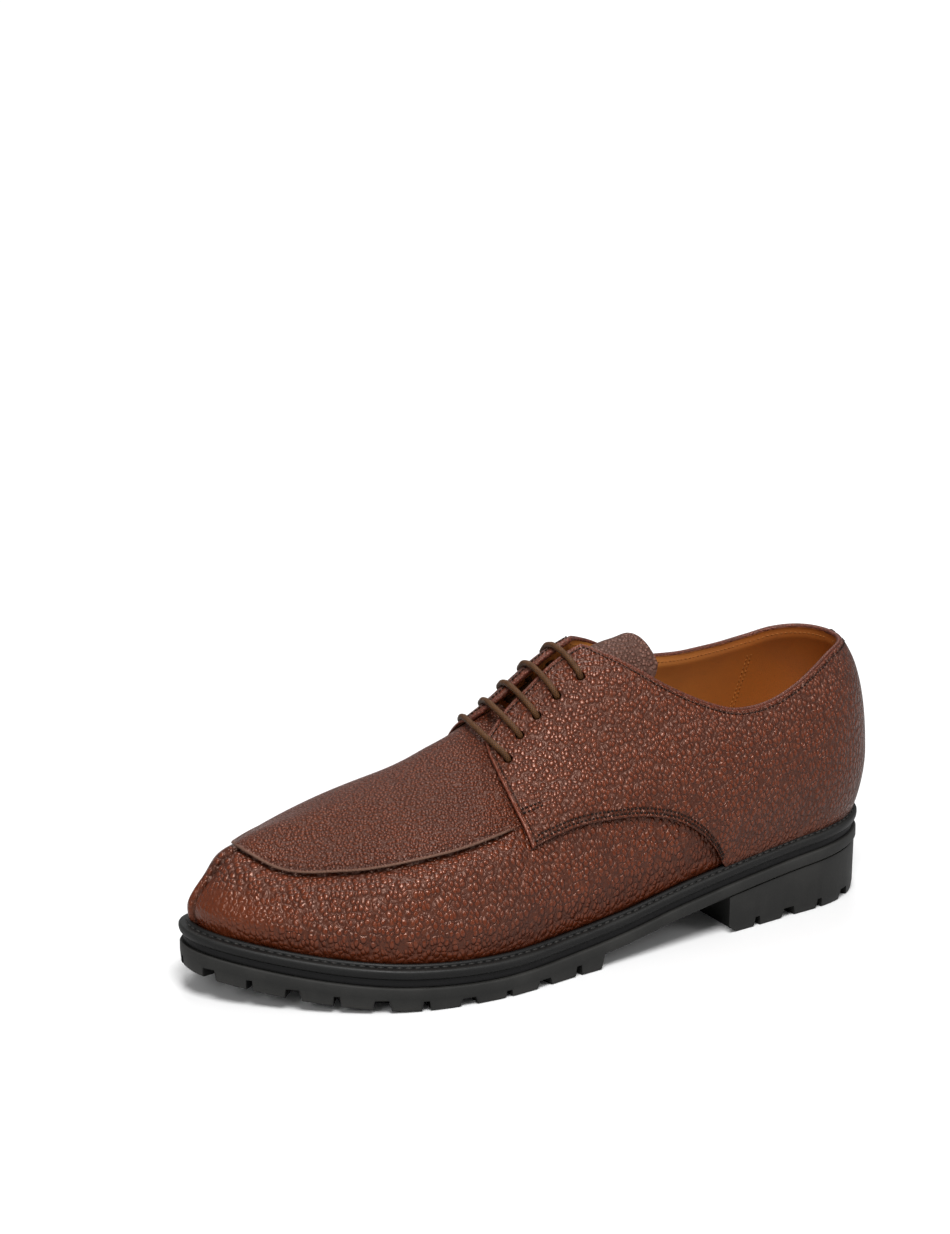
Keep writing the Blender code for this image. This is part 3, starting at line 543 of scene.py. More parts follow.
def hide_finish(name, cells, colours, rough, relief, thread_line=0.0):
    """Leather with pebbles; colours are valley (painted shade between the pebbles, also the cloudy patches),
    hide, light pebble, burnished part and folded part.
    """
    deep, hide, light, burnt, folded = colours
    m, tree, shader, place = new_finish(name, 0.7)
    shader.inputs["Specular Tint"].default_value = WARM_SHINE
    grain = put(tree, 'ShaderNodeGroup', node_tree=pebbled)
    tree.links.new(place, grain.inputs["Place"])
    grain.inputs["Cells"].default_value = cells
    pebble = grain.outputs["Height"]
    fine = noise(tree, place, 2600.0, 3.0)
    cloud = noise(tree, place, 34.0, 4.0)
    edge, low, burnish, dark, raw = (mark(tree, label) for label in ("edge", "low", "burnish", "dark", "raw"))

    # Painted shade: the valleys between the pebbles are darkened toward the valley colour.
    colour = tint(tree, fade(tree, pebble, 0.7, 0.3, 0.0, 0.8), hide, deep)
    colour = tint(tree, fade(tree, grain.outputs["Tone"], 0.5, 1.0, 0.0, 0.3), colour, light)
    colour = tint(tree, fade(tree, cloud, 0.45, 0.7, 0.0, 0.3), colour, deep)
    colour = tint(tree, times(tree, burnish, fade(tree, cloud, 0.2, 0.75, 1.0, 0.6)), colour, burnt)
    # Painted shade: the shade mark darkens the hide toward the shade brown.
    colour = tint(tree, times(tree, dark, 0.85), colour, SHADE_BROWN)
    colour = tint(tree, raw, colour, FIBRES)
    plain = less(tree, 1.0, times(tree, burnish, 0.6))
    plain = times(tree, plain, less(tree, 1.0, times(tree, raw, 0.8)))
    height = times(tree, pebble, times(tree, plain, relief))
    if thread_line:
        fold = fade(tree, edge, 0.6, 1.4, 1.0, 0.0)
        line = fade(tree, calc(tree, 'ABSOLUTE', less(tree, edge, thread_line)), 0.0, 0.7, 1.0, 0.0)
        foot_line = fade(tree, calc(tree, 'ABSOLUTE', less(tree, low, FOOT_ROWS)), 0.9, 1.7, 1.0, 0.0)
        pressed = calc(tree, 'MAXIMUM', line, times(tree, foot_line, 0.45))
        colour = tint(tree, fold, colour, folded)
        # Painted shade: the pressed thread grooves are darkened toward the shade brown.
        colour = tint(tree, times(tree, pressed, 0.65), colour, SHADE_BROWN)
        height = times(tree, height, less(tree, 1.0, times(tree, fold, 0.8)))
        height = less(tree, height, times(tree, pressed, 0.45))
    height = calc(tree, 'ADD', height, times(tree, fine, 0.06))
    gloss = calc(tree, 'ADD', fade(tree, pebble, 0.8, 0.2, 0.0, 0.14), rough)
    gloss = less(tree, gloss, times(tree, burnish, 0.08))
    gloss = calc(tree, 'ADD', gloss, fade(tree, cloud, 0.3, 0.7, -0.03, 0.06))
    gloss = calc(tree, 'ADD', gloss, times(tree, raw, 0.3))
    connect(tree, shader, colour, gloss, height, 1.0, 0.0005)
    return m


BROWNS = (rgb(56, 21, 9), rgb(97, 41, 19), rgb(112, 55, 32), rgb(94, 39, 15), rgb(108, 54, 38))
FOLD_BROWNS = (BROWNS[0], rgb(98, 42, 30), *BROWNS[2:])
DARKS = (rgb(20, 14, 13), rgb(36, 24, 22), rgb(48, 34, 30), rgb(34, 20, 16), rgb(48, 28, 24))
TONGUE_BROWNS = (rgb(48, 24, 16), rgb(84, 50, 40), rgb(108, 74, 62), rgb(80, 46, 32), rgb(100, 62, 48))

plug_leather = hide_finish("leather_plug", (740.0, 740.0, 740.0), BROWNS, 0.28, 1.2)
wall_leather = hide_finish("leather_wall", (520.0, 520.0, 330.0), BROWNS, 0.23, 1.0)
quarter_leather = hide_finish("leather_quarter", (560.0, 560.0, 380.0), BROWNS, 0.25, 1.0, THREAD_INSET)
fold_leather = hide_finish("leather_fold", (900.0, 900.0, 900.0), FOLD_BROWNS, 0.36, 0.25)
strip_leather = hide_finish("leather_strip", (700.0, 700.0, 500.0), DARKS, 0.42, 0.5)
tongue_leather = hide_finish("leather_tongue", (640.0, 640.0, 640.0), TONGUE_BROWNS, 0.45, 0.7)
print("leathers:", len(bpy.data.materials))

# %% [markdown]
# ### Cut edges and lining
# Where leather is cut, its fibres show: a speckled grey-brown, quite matte. The lining is smooth tan
# calf with faint pores, lighter in front and darker towards the heel.


# %% Raw edge and lining finishes
def raw_edge_finish(name, colour, speck):
    m, tree, shader, place = new_finish(name)
    fibre = noise(tree, place, 1500.0, 4.0)
    shade = tint(tree, fade(tree, fibre, 0.38, 0.66), colour, speck)
    connect(tree, shader, shade, fade(tree, fibre, 0.2, 0.8, 0.62, 0.82), fibre, 0.8, 0.0002)
    return m


def lining_finish():
    m, tree, shader, place = new_finish("leather_lining")
    along = put(tree, 'ShaderNodeSeparateXYZ', {0: place}).outputs[0]
    pores = put(tree, 'ShaderNodeTexVoronoi', {"Vector": place, "Scale": 1300.0}).outputs["Distance"]
    cloud = noise(tree, place, 45.0, 4.0)
    shade = tint(tree, fade(tree, along, 0.03, 0.14), rgb(196, 126, 56), rgb(158, 88, 30))
    shade = tint(tree, fade(tree, cloud, 0.4, 0.75, 0.0, 0.35), shade, rgb(140, 76, 28))
    shade = tint(tree, fade(tree, pores, 0.0, 0.3, 0.35, 0.0), shade, rgb(110, 58, 22))
    rough = fade(tree, cloud, 0.2, 0.8, 0.5, 0.66)
    connect(tree, shader, shade, rough, fade(tree, pores, 0.0, 0.35), 0.5, 0.0001)
    return m


raw_edge = raw_edge_finish("leather_raw_edge", rgb(78, 52, 40), rgb(128, 100, 84))
flesh_side = raw_edge_finish("leather_flesh", rgb(120, 80, 50), rgb(150, 106, 72))
lining_leather = lining_finish()
print("edge, flesh and lining finishes made")

# %% [markdown]
# ## Wall of the vamp
# The wall is the strip of vamp that runs from the quarters round the toe, between the sole and the
# apron seam. It is stitched under the plug, so it pinches in just below the seam and swells under
# it. Its two halves meet in a seam at the toe: a rolled ridge beside a groove darkened by painted shade.
# Both are written into the distance from the last, as soft troughs and ridges, so the grid carries them.

# %% Wall of the vamp
QUARTER_BED, WALL_REAR, UNDER_COLLAR = 0.45, 76.0, 0.08
ROLL_HIGH, ROLL_WIDE, TOE_LINE = 1.5, 4.8, 0.35


def hump(x, wide):
    """A soft bump of height 1 round x = 0."""
    return np.exp(-(x / wide) ** 2)


def bed(ahead):
    """How far wall and plug sink where the quarters lie on them."""
    return QUARTER_BED * (1.0 - smooth((ahead - 170.0) / 14.0))


def ahead_of(t, side):
    """Station as the lateral pattern counts it; the medial lines lie a little further back."""
    return station(t) + np.where(side > 0, MEDIAL_BACK, 0.0)


half_t = finer(float(ray_at(WALL_REAR)), 0.965, 1.0, 150, 36)
wall_t = there_and_back(half_t)[None, :]
wall_side = both_sides(len(half_t))[None, :]
wall_v = finer(0.0, 0.44, 0.525, 36, 24)[:, None]
apron_row = int(np.argmin(np.abs(wall_v[:, 0] - SHOULDER)))
collar_v = line_height(TOP_LINE, wall_t, wall_side)
wall_v = wall_v * np.minimum(1.0, (collar_v - UNDER_COLLAR) / wall_v[-1])
bare = on_last(wall_t, wall_side, wall_v)
climb = run_along(bare, 0)
from_apron = climb[apron_row][None, :] - climb
from_toe = run_along(bare, 1)
from_toe = from_toe - from_toe[:, [len(half_t) - 1]]

ahead = ahead_of(wall_t, wall_side)
seam_on = smooth((ahead - 176.0) / 10.0)
pinch = -0.7 * hump(from_apron, 1.1) + 0.9 * hump(from_apron - 7.5, 5.5)
rolled = np.sin(np.pi * np.clip(from_toe / ROLL_WIDE, 0, 1)) ** 0.8
toe_roll = ROLL_HIGH * np.where((from_toe > 0) & (from_toe < ROLL_WIDE), rolled, 0)
toe_roll = toe_roll - 0.9 * hump(from_toe + TOE_LINE, 0.6)
toe_fade = smooth(climb / 3.0)
drift = 0.22 * np.sin(climb * 0.21 + 0.13 * from_toe) * np.sin(from_toe * 0.071 + 1.0)
wall_off = -bed(ahead) + seam_on * (pinch + drift) + toe_roll * toe_fade

waxed_foot = 0.9 * smooth(1.0 - climb / 9.0)
waxed_toe = smooth((ahead - 262.0) / 34.0) * smooth(1.0 - (climb - 14.0) / 12.0)
wall_burnish = np.maximum(waxed_foot, waxed_toe)
# Painted shade: the groove under the apron seam, the groove beside the toe seam and the crease at the foot of
# the wall by the welt.
wall_dark = np.clip(seam_on * hump(from_apron - 0.3, 0.9) + hump(from_toe + TOE_LINE, 0.75)
                    + 0.7 * hump(climb - 0.4, 1.6), 0, 1)
bm = draped(leather(wall_t, wall_side, wall_v, wall_off), burnish=wall_burnish, dark=wall_dark)
face_outwards(bm)
piece(bm, "vamp_wall", [wall_leather, flesh_side, raw_edge], thick=0.85)

# %% [markdown]
# ## Apron plug
# The plug is the panel on top of the toe. It lies on the edge of the wall with its own cut edge
# showing, as a thin raised lip all round, and behind the laces it dips under the facings towards
# the tongue. Its grid runs across from one apron line over the ridge to the other; at the toe the
# two halves meet and are merged.

# %% Apron plug
PLUG_STEP, PLUG_REAR = 0.9, 164.0
LIP_SHARES = [0.0, 0.006, 0.012, 0.019, 0.027, 0.036, 0.047, 0.06, 0.078]
share = np.concatenate([LIP_SHARES, np.linspace(0.1, 1.0, 44)])
plug_v = SHOULDER + (1.0 - SHOULDER) * there_and_back(share)[:, None]
plug_side = both_sides(len(share))[:, None]
plug_t = finer(float(ray_at(PLUG_REAR)), 0.92, 1.0, 105, 46)[None, :]
bare = on_last(plug_t, plug_side, plug_v)
reach = run_along(bare, 0)
middle = len(share) - 1
from_lip = np.where(plug_side < 0, reach, reach[-1:] - reach)
ahead = ahead_of(plug_t, plug_side)
beside = np.hypot(bare[..., 0] - bare[[middle], :, 0], bare[..., 1] - bare[[middle], :, 1])
throat_wide = sided(THROAT, 1, plug_side, station(plug_t))

lip_on = smooth((ahead - 178.0) / 10.0)
plug_off = PLUG_STEP * smooth((ahead - 183.0) / 14.0) - bed(ahead)
lip = 0.45 * hump(from_lip - 0.6, 0.8) - 0.25 * hump(from_lip, 0.3) - 0.3 * hump(from_lip - 2.4, 0.9)
dip = 3.4 * smooth((181.0 - ahead) / 13.0) * (1.0 - smooth((beside - throat_wide + 1.5) / 4.0))
plug_off = plug_off + lip_on * lip - dip
plug_burnish = 0.7 * smooth((station(plug_t) - 282.0) / 16.0) * smooth(1.0 - from_lip / 10.0)
# Painted shade: the groove just inside the lip and the plug's rear, where it runs under the quarters.
plug_dark = np.clip(0.55 * hump(from_lip - 2.1, 0.7) * lip_on + 0.7 * smooth((176.0 - ahead) / 8.0), 0, 1)
plug_raw = lip_on * smooth(1.0 - (from_lip - 0.7) / 0.7)
n = normal(plug_t, plug_side, plug_v)
other = normal(plug_t, -plug_side, plug_v)
mixed = 0.5 * (1.0 - np.clip((1.0 - plug_v) / 0.06, 0, 1))[..., None]
n = n * (1 - mixed) + other * mixed
n = n / np.linalg.norm(n, axis=-1, keepdims=True)
bm = draped(bare + n * plug_off[..., None], burnish=plug_burnish, dark=plug_dark, raw=plug_raw)
close_up(bm)
face_outwards(bm)
piece(bm, "apron_plug", [plug_leather, flesh_side, raw_edge], thick=0.9)

# %% [markdown]
# ## Lining
# Inside, the shoe is lined with tan leather from the sole up to the collar, and closed over the
# toes. One grid runs all round, from the toe along the lateral side, round the heel and back along
# the medial side. Ahead of the throat its two top edges meet on the ridge and are merged. Near the
# collar it leans out to meet the quarters, as a folded edge does. Its foot is turned in, so that no
# gap shows round the sock.

# %% Lining
WALL, THROAT_FRONT, TURNED_IN = 2.2, 184.0, 6.0


def lining_top(side):
    """The lining's top line: the pattern's own, with a rounded end ahead of the laces."""
    s = station(MANY)
    top = TOP_LINE[side].copy()
    wide = sided(THROAT, 1, side, s) + 1.0
    for i in np.flatnonzero((s > 160.0) & (s < THROAT_FRONT)):
        round_end = math.sqrt(min(1.0, (THROAT_FRONT - s[i]) / 9.0))
        top[i] = height_beside(MANY[i], side, wide[i] * round_end)
    return np.where(s >= THROAT_FRONT, 1.0, top)


ring_t = np.unique(np.concatenate([np.linspace(0.0, 1.0, 150), ray_at(np.linspace(120.0, 134.0, 15))]))
lining_t = there_and_back(ring_t[::-1])[None, :]
lining_side = both_sides(len(ring_t))[None, :]
lining_high = line_height({side: lining_top(side) for side in (-1, 1)}, lining_t, lining_side)
up_share = np.concatenate([[[0.0]], 1.0 - (1.0 - np.linspace(0.0, 1.0, 50)[:, None]) ** 1.5])
lining_v = up_share * lining_high
bare = on_last(lining_t, lining_side, lining_v)
from_top = run_along(bare, 0)
from_top = from_top[-1:] - from_top
open_top = 1.0 - smooth((station(lining_t) - 160.0) / 16.0)
lining_off = -WALL + 1.5 * open_top * smooth(1.0 - from_top / 5.0)
lining_off[0] = -WALL - TURNED_IN
bm = draped(leather(lining_t, lining_side, lining_v, lining_off))
close_up(bm, 0.3)
face_outwards(bm, -1.0)
lining = piece(bm, "lining", [lining_leather, flesh_side, lining_leather], thick=0.6)
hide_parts("upper")

# %% [markdown]
# ## Quarters
# The two quarters carry the facings with the eyelets and close round the heel. They are laid over
# the vamp with folded, stitched edges. The grid follows the pattern lines: its lowest row is the
# curved seam, its top row the collar and the facing, its last column the front edge. The distance
# to these edges rounds the fold and guides the thread.

# %% Quarters
GAP, QUARTER, STRIP_STATION = 0.4, 1.5, float(station(0.0105))
FOLD_SHARES = np.array([0.0, 0.004, 0.009, 0.015, 0.022, 0.031, 0.042, 0.055, 0.07])
SEAM_REAR, NO_SEAM = 88.0, 99.0


def quarter_grid(side):
    """Rays, heights and edge distances of one quarter, from the lower seam to the top edge."""
    shift = MEDIAL_BACK if side > 0 else 0.0
    last_t = float(ray_at(QUARTER_FOOT - shift))
    first_t = float(ray_at(STRIP_STATION))
    along = finer(first_t, last_t - 0.012, last_t, 190, 15)
    share = np.concatenate([FOLD_SHARES, np.linspace(0.085, 0.915, 66), 1.0 - FOLD_SHARES[::-1]])[:, None]
    front = np.interp(share, *np.transpose(QUARTER_FRONT)) - QUARTER_FOOT
    s = station(along)[None, :]
    t = ray_at(s + front * (s / (QUARTER_FOOT - shift)) ** 8)
    low, top = (np.interp(t, MANY, limit) for limit in LIMITS[side])
    v = low + (top - low) * share
    spots = on_last(t, side, v)
    up = run_along(spots, 0)
    fore = run_along(spots, 1)
    from_low = np.where(station(t) + shift > SEAM_REAR, up, NO_SEAM)
    return t, v, up, up[-1:] - up, fore[:, -1:] - fore, from_low


def quarter_piece(side, name):
    """One quarter: folded edges, a little padding inside them, burnished at its foot, with painted shade at
    its foot, lower seam and heel.
    """
    t, v, up, from_top, from_front, from_low = quarter_grid(side)
    edge = np.minimum(np.minimum(from_top, from_front), from_low)
    tuck = 0.65 * (1.0 - np.sqrt(1.0 - np.clip(1.0 - edge / 0.7, 0, 1) ** 2))
    puff = 0.35 * smooth((edge - 3.0) / 9.0)
    off = GAP + QUARTER + puff - tuck - 0.7 * smooth(1.0 - from_top / 4.0)
    on_sole = from_low == NO_SEAM
    burnish = np.where(on_sole, 0.8 * smooth(1.0 - up / 8.0), 0.0)
    # Painted shade: the crease at the foot by the welt, the back of the heel and the lower seam's edge.
    shade = 0.6 * hump(up - 0.4, 1.3) * on_sole + 0.35 * smooth(1.0 - (station(t) - FEATHER_HEEL) / 22.0)
    shade = shade + 0.8 * hump(from_low, 0.5)
    bm = draped(leather(t, side, v, off), edge=np.minimum(from_top, from_front), low=from_low,
                burnish=burnish, dark=np.clip(shade, 0, 1))
    face_outwards(bm)
    return piece(bm, name, [quarter_leather, flesh_side, fold_leather], thick=1.4)


quarters = {-1: quarter_piece(-1, "quarter_outer_side"), 1: quarter_piece(1, "quarter_inner_side")}
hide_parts("quarter_lateral")
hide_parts("quarter_medial")

# %% [markdown]
# ## Eyelets
# The shoe has plain punched holes. A punch is a cylinder, so ten short cylinders stand through the
# facings and a Boolean takes them out of quarters and lining. The result is written back into each
# mesh, and the punches are removed.

# %% Eyelets
HOLE_RADIUS, PUNCH_REACH = 1.9, 5.0
# lateral station and distance from the facing's edge, medial station and distance
EYELETS = np.array([
    (174.0, 15.5, 172.5, 13.0), (166.0, 14.0, 164.0, 13.0), (157.5, 13.5, 156.0, 13.0),
    (148.2, 13.5, 147.0, 13.0), (137.5, 13.5, 137.0, 13.0)])


def eyelet_at(i, side):
    """Ray, height and distance from the middle line of one eyelet, counted from the front."""
    k = 0 if side < 0 else 2
    s, away_from_edge = EYELETS[i][k:k + 2]
    t = float(ray_at(s))
    v = np.linspace(height_beside(t, side, float(column(THROAT, 1 + k // 2, s))), 0.3, 400)
    p = on_last(t, side, v)
    v = float(np.interp(away_from_edge, run_along(p, 0), v))
    x, y, z = on_last(t, side, v)
    return t, v, math.hypot(x - foot(s), y - column(OUTLINE, 3, foot(s)))


def eyelet(i, side, off):
    t, v, h = eyelet_at(i, side)
    return leather(t, side, v, off)


def cutter_from(bm):
    """Stand the shapes in bm in the scene as one tool."""
    mesh = bpy.data.meshes.new("cutter")
    bm.to_mesh(mesh)
    bm.free()
    cutter = bpy.data.objects.new("cutter", mesh)
    bpy.context.scene.collection.objects.link(cutter)
    return cutter


def cut_out(ob, cutter, crossing=False):
    """Take the cutter out of ob for good; crossing where the cutter's own shapes overlap."""
    cut = ob.modifiers.new("cut", 'BOOLEAN')
    cut.operation, cut.solver, cut.use_self, cut.object = 'DIFFERENCE', 'EXACT', crossing, cutter
    done = bpy.data.meshes.new_from_object(ob.evaluated_get(bpy.context.evaluated_depsgraph_get()))
    ob.modifiers.clear()
    ob.data = done
    print(ob.name, "cut:", len(done.polygons), "faces")


bm = bmesh.new()
for i in range(len(EYELETS)):
    for side in (-1, 1):
        ends = [eyelet(i, side, reach) for reach in (-PUNCH_REACH, PUNCH_REACH)]
        low, high = (Vector(p) for p in to_world(ends))
        stand = (high - low).to_track_quat('Z', 'Y').to_matrix().to_4x4()
        bmesh.ops.create_cone(bm, cap_ends=True, segments=24, radius1=HOLE_RADIUS * MM,
                              radius2=HOLE_RADIUS * MM, depth=(high - low).length,
                              matrix=Matrix.Translation((low + high) / 2) @ stand)
punches = cutter_from(bm)
for ob in (quarters[-1], quarters[1], lining):
    cut_out(ob, punches)
bpy.data.objects.remove(punches)

# %% [markdown]
# ## Folded edge of collar and facings
# Along the collar and the facings the outer leather is turned over to the lining, which leaves a
# slim reddish bead. A bead is a round section carried along a path, so it is a grid rolled into a
# tube. The same tube helper later makes the lace and the storm bead of the welt.


# %% Tubes along a path
def tube(path, radius, sides=12, closed=False, flat=1.0, up=None, **marks):
    """Round section carried along a path of spots; flat squeezes it along the given up vectors."""
    path = np.asarray(path, float)
    if closed:
        path = np.concatenate([path, path[:1]])
    forward = np.gradient(path, axis=0)
    if closed:
        forward[0] = forward[-1] = path[1] - path[-2]
    forward = forward / np.linalg.norm(forward, axis=1, keepdims=True)
    if up is None:
        frames = [np.cross(forward[0], (0.31, 0.52, 0.79))]
        for f in forward[1:]:
            frames.append(frames[-1] - f * frames[-1].dot(f))
        up = np.array(frames)
    up = up - forward * np.sum(up * forward, axis=1, keepdims=True)
    up = up / np.linalg.norm(up, axis=1, keepdims=True)
    out = np.cross(forward, up)
    turn = np.linspace(0.0, 2 * np.pi, sides + 1)[:, None, None]
    radius = np.broadcast_to(radius, len(path))[None, :, None]
    spots = path[None] + radius * (np.cos(turn) * up[None] * flat + np.sin(turn) * out[None])
    marks["along"] = np.broadcast_to(run_along(path, 0)[None, :], spots.shape[:2])
    marks["round"] = np.broadcast_to(np.linspace(0.0, 1.0, sides + 1)[:, None], spots.shape[:2])
    bm = draped(spots, **marks)
    bmesh.ops.remove_doubles(bm, verts=bm.verts, dist=0.01 * MM)
    if not closed:
        bmesh.ops.holes_fill(bm, edges=[e for e in bm.edges if e.is_boundary], sides=0)
    bmesh.ops.recalc_face_normals(bm, faces=bm.faces)
    return bm


def lying(side, t_line, v_line, off):
    """Points and normals along a line on the last."""
    return leather(t_line, side, v_line, np.full(len(t_line), off)), normal(t_line, side, v_line)


def top_edge(side, off, drop):
    """Points and normals along collar and facing, heel to front, a little below the edge."""
    t, v, up, from_top, from_front, from_low = quarter_grid(side)
    t_line, v_line = (np.array([np.interp(-drop, -from_top[:, j], grid[:, j]) for j in range(v.shape[1])])
                      for grid in (t, v))
    return lying(side, t_line, v_line, off)


outer_edge, inner_edge = (top_edge(side, 0.35, 0.25) for side in (-1, 1))
bead_path, bead_up = (np.concatenate([outer[::-1], inner]) for outer, inner in zip(outer_edge, inner_edge))
piece(tube(bead_path, 0.85, 12, flat=1.3, up=bead_up), "collar_bead", [fold_leather])

# %% [markdown]
# ## Back strip
# The quarters meet at the heel under a narrow strip of dark leather. It is a plain strip, slightly
# crowned, so a small grid with a rounded offset is enough.

# %% Back strip
STRIP_HALF = 0.0095
strip_t = there_and_back(np.linspace(STRIP_HALF, 0.0, 8))[None, :]
strip_side = both_sides(8)[None, :]
strip_high = line_height(TOP_LINE, strip_t, strip_side)
strip_low = np.interp(strip_t, MANY, LIMITS[-1][0])
strip_v = strip_low + (strip_high - 0.006 - strip_low) * np.linspace(0.0, 1.0, 60)[:, None]
strip_off = GAP + QUARTER + 0.25 - 0.75 * (np.abs(strip_t) / STRIP_HALF) ** 4 + 0.0 * strip_v
bm = draped(leather(strip_t, strip_side, strip_v, strip_off))
close_up(bm)
face_outwards(bm)
strip = piece(bm, "heel_strip", [strip_leather, flesh_side, strip_leather], thick=1.3)
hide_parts("back_strip")

# %% [markdown]
# ## Tongue
# The tongue lies under the laces, a softer grey-brown leather with a cut edge, and its rounded end
# stands out above the facings, cut on a slant. It sits where the frame has it, dropped below the
# last so that the lace has room, and a slow ripple keeps it from looking pressed.

# %% Tongue
# station, half width lateral, half width medial, drop of the outer face
TONGUE = np.array([
    (102.5, 20.0, 13.0, 6.3), (104.5, 22.2, 15.0, 6.4), (109.0, 23.2, 16.0, 6.5), (120.0, 23.4, 16.6, 6.5),
    (135.0, 23.6, 17.2, 6.5), (150.0, 24.0, 17.5, 6.5), (165.0, 25.0, 18.0, 6.5), (181.5, 25.0, 18.0, 6.5),
    (188.5, 24.0, 17.0, 3.2), (194.0, 22.0, 15.5, 2.75)])
TONGUE_SLANT, SLANT_LONG = 5.0, 18.0
tongue_s = np.concatenate([np.linspace(TONGUE[0, 0], 110.0, 16),
                           np.linspace(111.0, TONGUE[-1, 0], 62)])[:, None]
tongue_q = np.sin(np.linspace(-0.5, 0.5, 41) * np.pi)[None, :]
slant = TONGUE_SLANT * (1.0 - smooth((tongue_s - TONGUE[0, 0]) / SLANT_LONG))
tongue_t = ray_at(tongue_s + slant * (1.0 + 0.8 * tongue_q - 0.2 * tongue_q ** 2))
tongue_side = np.where(tongue_q < 0, -1.0, 1.0)
tongue_wide = sided(TONGUE, 1, tongue_q, tongue_s) * np.abs(tongue_q)
tongue_v = np.array([[height_beside(t, -1 if q < 0 else 1, h) for t, q, h in zip(ts, tongue_q[0], hs)]
                     for ts, hs in zip(tongue_t, tongue_wide)])
tongue_off = -column(TONGUE, 3, tongue_s) - 0.5 * np.abs(tongue_q) ** 12
tongue_off = tongue_off + 0.25 * np.sin(tongue_s * 0.16 + 1.4 * tongue_q)
bm = draped(leather(tongue_t, tongue_side, tongue_v, tongue_off))
face_outwards(bm)
tongue = piece(bm, "tongue_flap", [tongue_leather, flesh_side, raw_edge], thick=2.2)
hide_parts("tongue")

# %% [markdown]
# ## Lace
# A round waxed cord in five bars. On top it arches from one facing to the other, at each eyelet it
# turns down through the hole, and underneath it runs on to the next hole. From the lowest bar it
# runs up inside the lateral facing to the top eyelet and ends out of sight. Points on the facings
# give the route, a smooth curve joins them, and the tube helper makes the cord. The braid is a
# crossing of two slanted waves on the tube's own lengthwise and round marks.


# %% Lace finish
def lace_finish():
    m, tree, shader, place = new_finish("cord_waxed", 0.2)
    along, turn = mark(tree, "along"), mark(tree, "round")
    strands = []
    for hand in (1.0, -1.0):
        phase = calc(tree, 'ADD', times(tree, along, 5.2), times(tree, turn, hand * 8.0 * 2 * math.pi))
        strands.append(calc(tree, 'SINE', phase))
    weave = calc(tree, 'MAXIMUM', strands[0], strands[1])
    cloud = noise(tree, place, 260.0, 3.0)
    # Painted shade: the grooves between the strands are darker than the strand tops.
    shade = tint(tree, fade(tree, weave, -0.6, 0.9), rgb(44, 26, 12), rgb(96, 62, 33))
    shade = tint(tree, fade(tree, cloud, 0.4, 0.7, 0.0, 0.4), shade, rgb(56, 34, 18))
    connect(tree, shader, shade, fade(tree, cloud, 0.25, 0.75, 0.42, 0.62), weave, 0.7, 0.00012)
    return m


# %% Lace
LACE_RADIUS = 1.25
OVER = GAP + QUARTER + LACE_RADIUS + 0.1
UNDER = -(WALL + LACE_RADIUS + 0.8)
# How far each bar's middle lies towards the toe: a taut lace crosses the falling instep squarely
BOWS = (4.5, 2.7, 1.8, 1.4, 1.2)
# The hidden end lies this much nearer the throat than the eyelets, beside the other runs
BESIDE = 3.8


def on_throat(s_from, s_to, q, h, off, bow=0.0):
    """Point over the throat: h runs from lateral (negative) to medial."""
    t = float(ray_at(s_from + (s_to - s_from) * q + 4.0 * bow * q * (1.0 - q)))
    side = -1 if h < 0 else 1
    return leather(t, side, height_beside(t, side, abs(h)), off)


def lace_bar(i):
    """One bar from the lateral to the medial eyelet; it sinks a little into the gap of the throat."""
    ls, ms = EYELETS[i][[0, 2]]
    lh, mh = eyelet_at(i, -1)[2], eyelet_at(i, 1)[2]
    gap = -float(column(THROAT, 1, ls)), float(column(THROAT, 2, ms))
    stops = [-0.88 * lh, 0.5 * (gap[0] - lh), gap[0] - 1.5, gap[0], 0.5 * sum(gap), gap[1], gap[1] + 1.5,
             0.5 * (gap[1] + mh), 0.88 * mh]
    lift = (0.0, -0.1, -0.5, -0.6, -0.65, -0.6, -0.6, -0.3, -0.2)
    return [on_throat(ls, ms, (h + lh) / (lh + mh), h, OVER + d, BOWS[i])
            for h, d in zip(stops, lift)]


def lace_turn(i, side, next_point):
    """Down through one eyelet; next_point is the bar's nearest point."""
    high = eyelet(i, side, OVER - 0.5)
    return [high + (next_point - high) * 0.55, eyelet(i, side, 1.6), eyelet(i, side, -1.5)]


def smooth_path(points, step=0.7):
    """Even steps along a smooth curve through the points."""
    p = np.asarray(points, float)
    p = np.concatenate([2 * p[:1] - p[1:2], p, 2 * p[-1:] - p[-2:-1]])
    out = []
    for a, b, c, d in zip(p[:-3], p[1:-2], p[2:-1], p[3:]):
        for q in np.linspace(0.0, 1.0, 14, endpoint=False):
            out.append(0.5 * (2 * b + (c - a) * q + (2 * a - 5 * b + 4 * c - d) * q * q
                              + (3 * b - a - 3 * c + d) * q ** 3))
    out = np.array(out + [p[-2]])
    length = run_along(out, 0)
    even = np.linspace(0.0, length[-1], int(length[-1] / step) + 1)
    return np.stack([np.interp(even, length, out[:, k]) for k in range(3)], 1)


def hidden_end():
    """Under the lateral facing, from the top eyelet down to the lowest."""
    row = [eyelet_at(i, -1)[2] for i in range(len(EYELETS))]
    path = []
    for s in (EYELETS[-1][0] + 0.6, *EYELETS[3:0:-1, 0], EYELETS[0][0] - 3.5):
        h = float(np.interp(s, EYELETS[::-1, 0], row[::-1])) - BESIDE
        path.append(on_throat(s, s, 0.0, -h, UNDER))
    return path


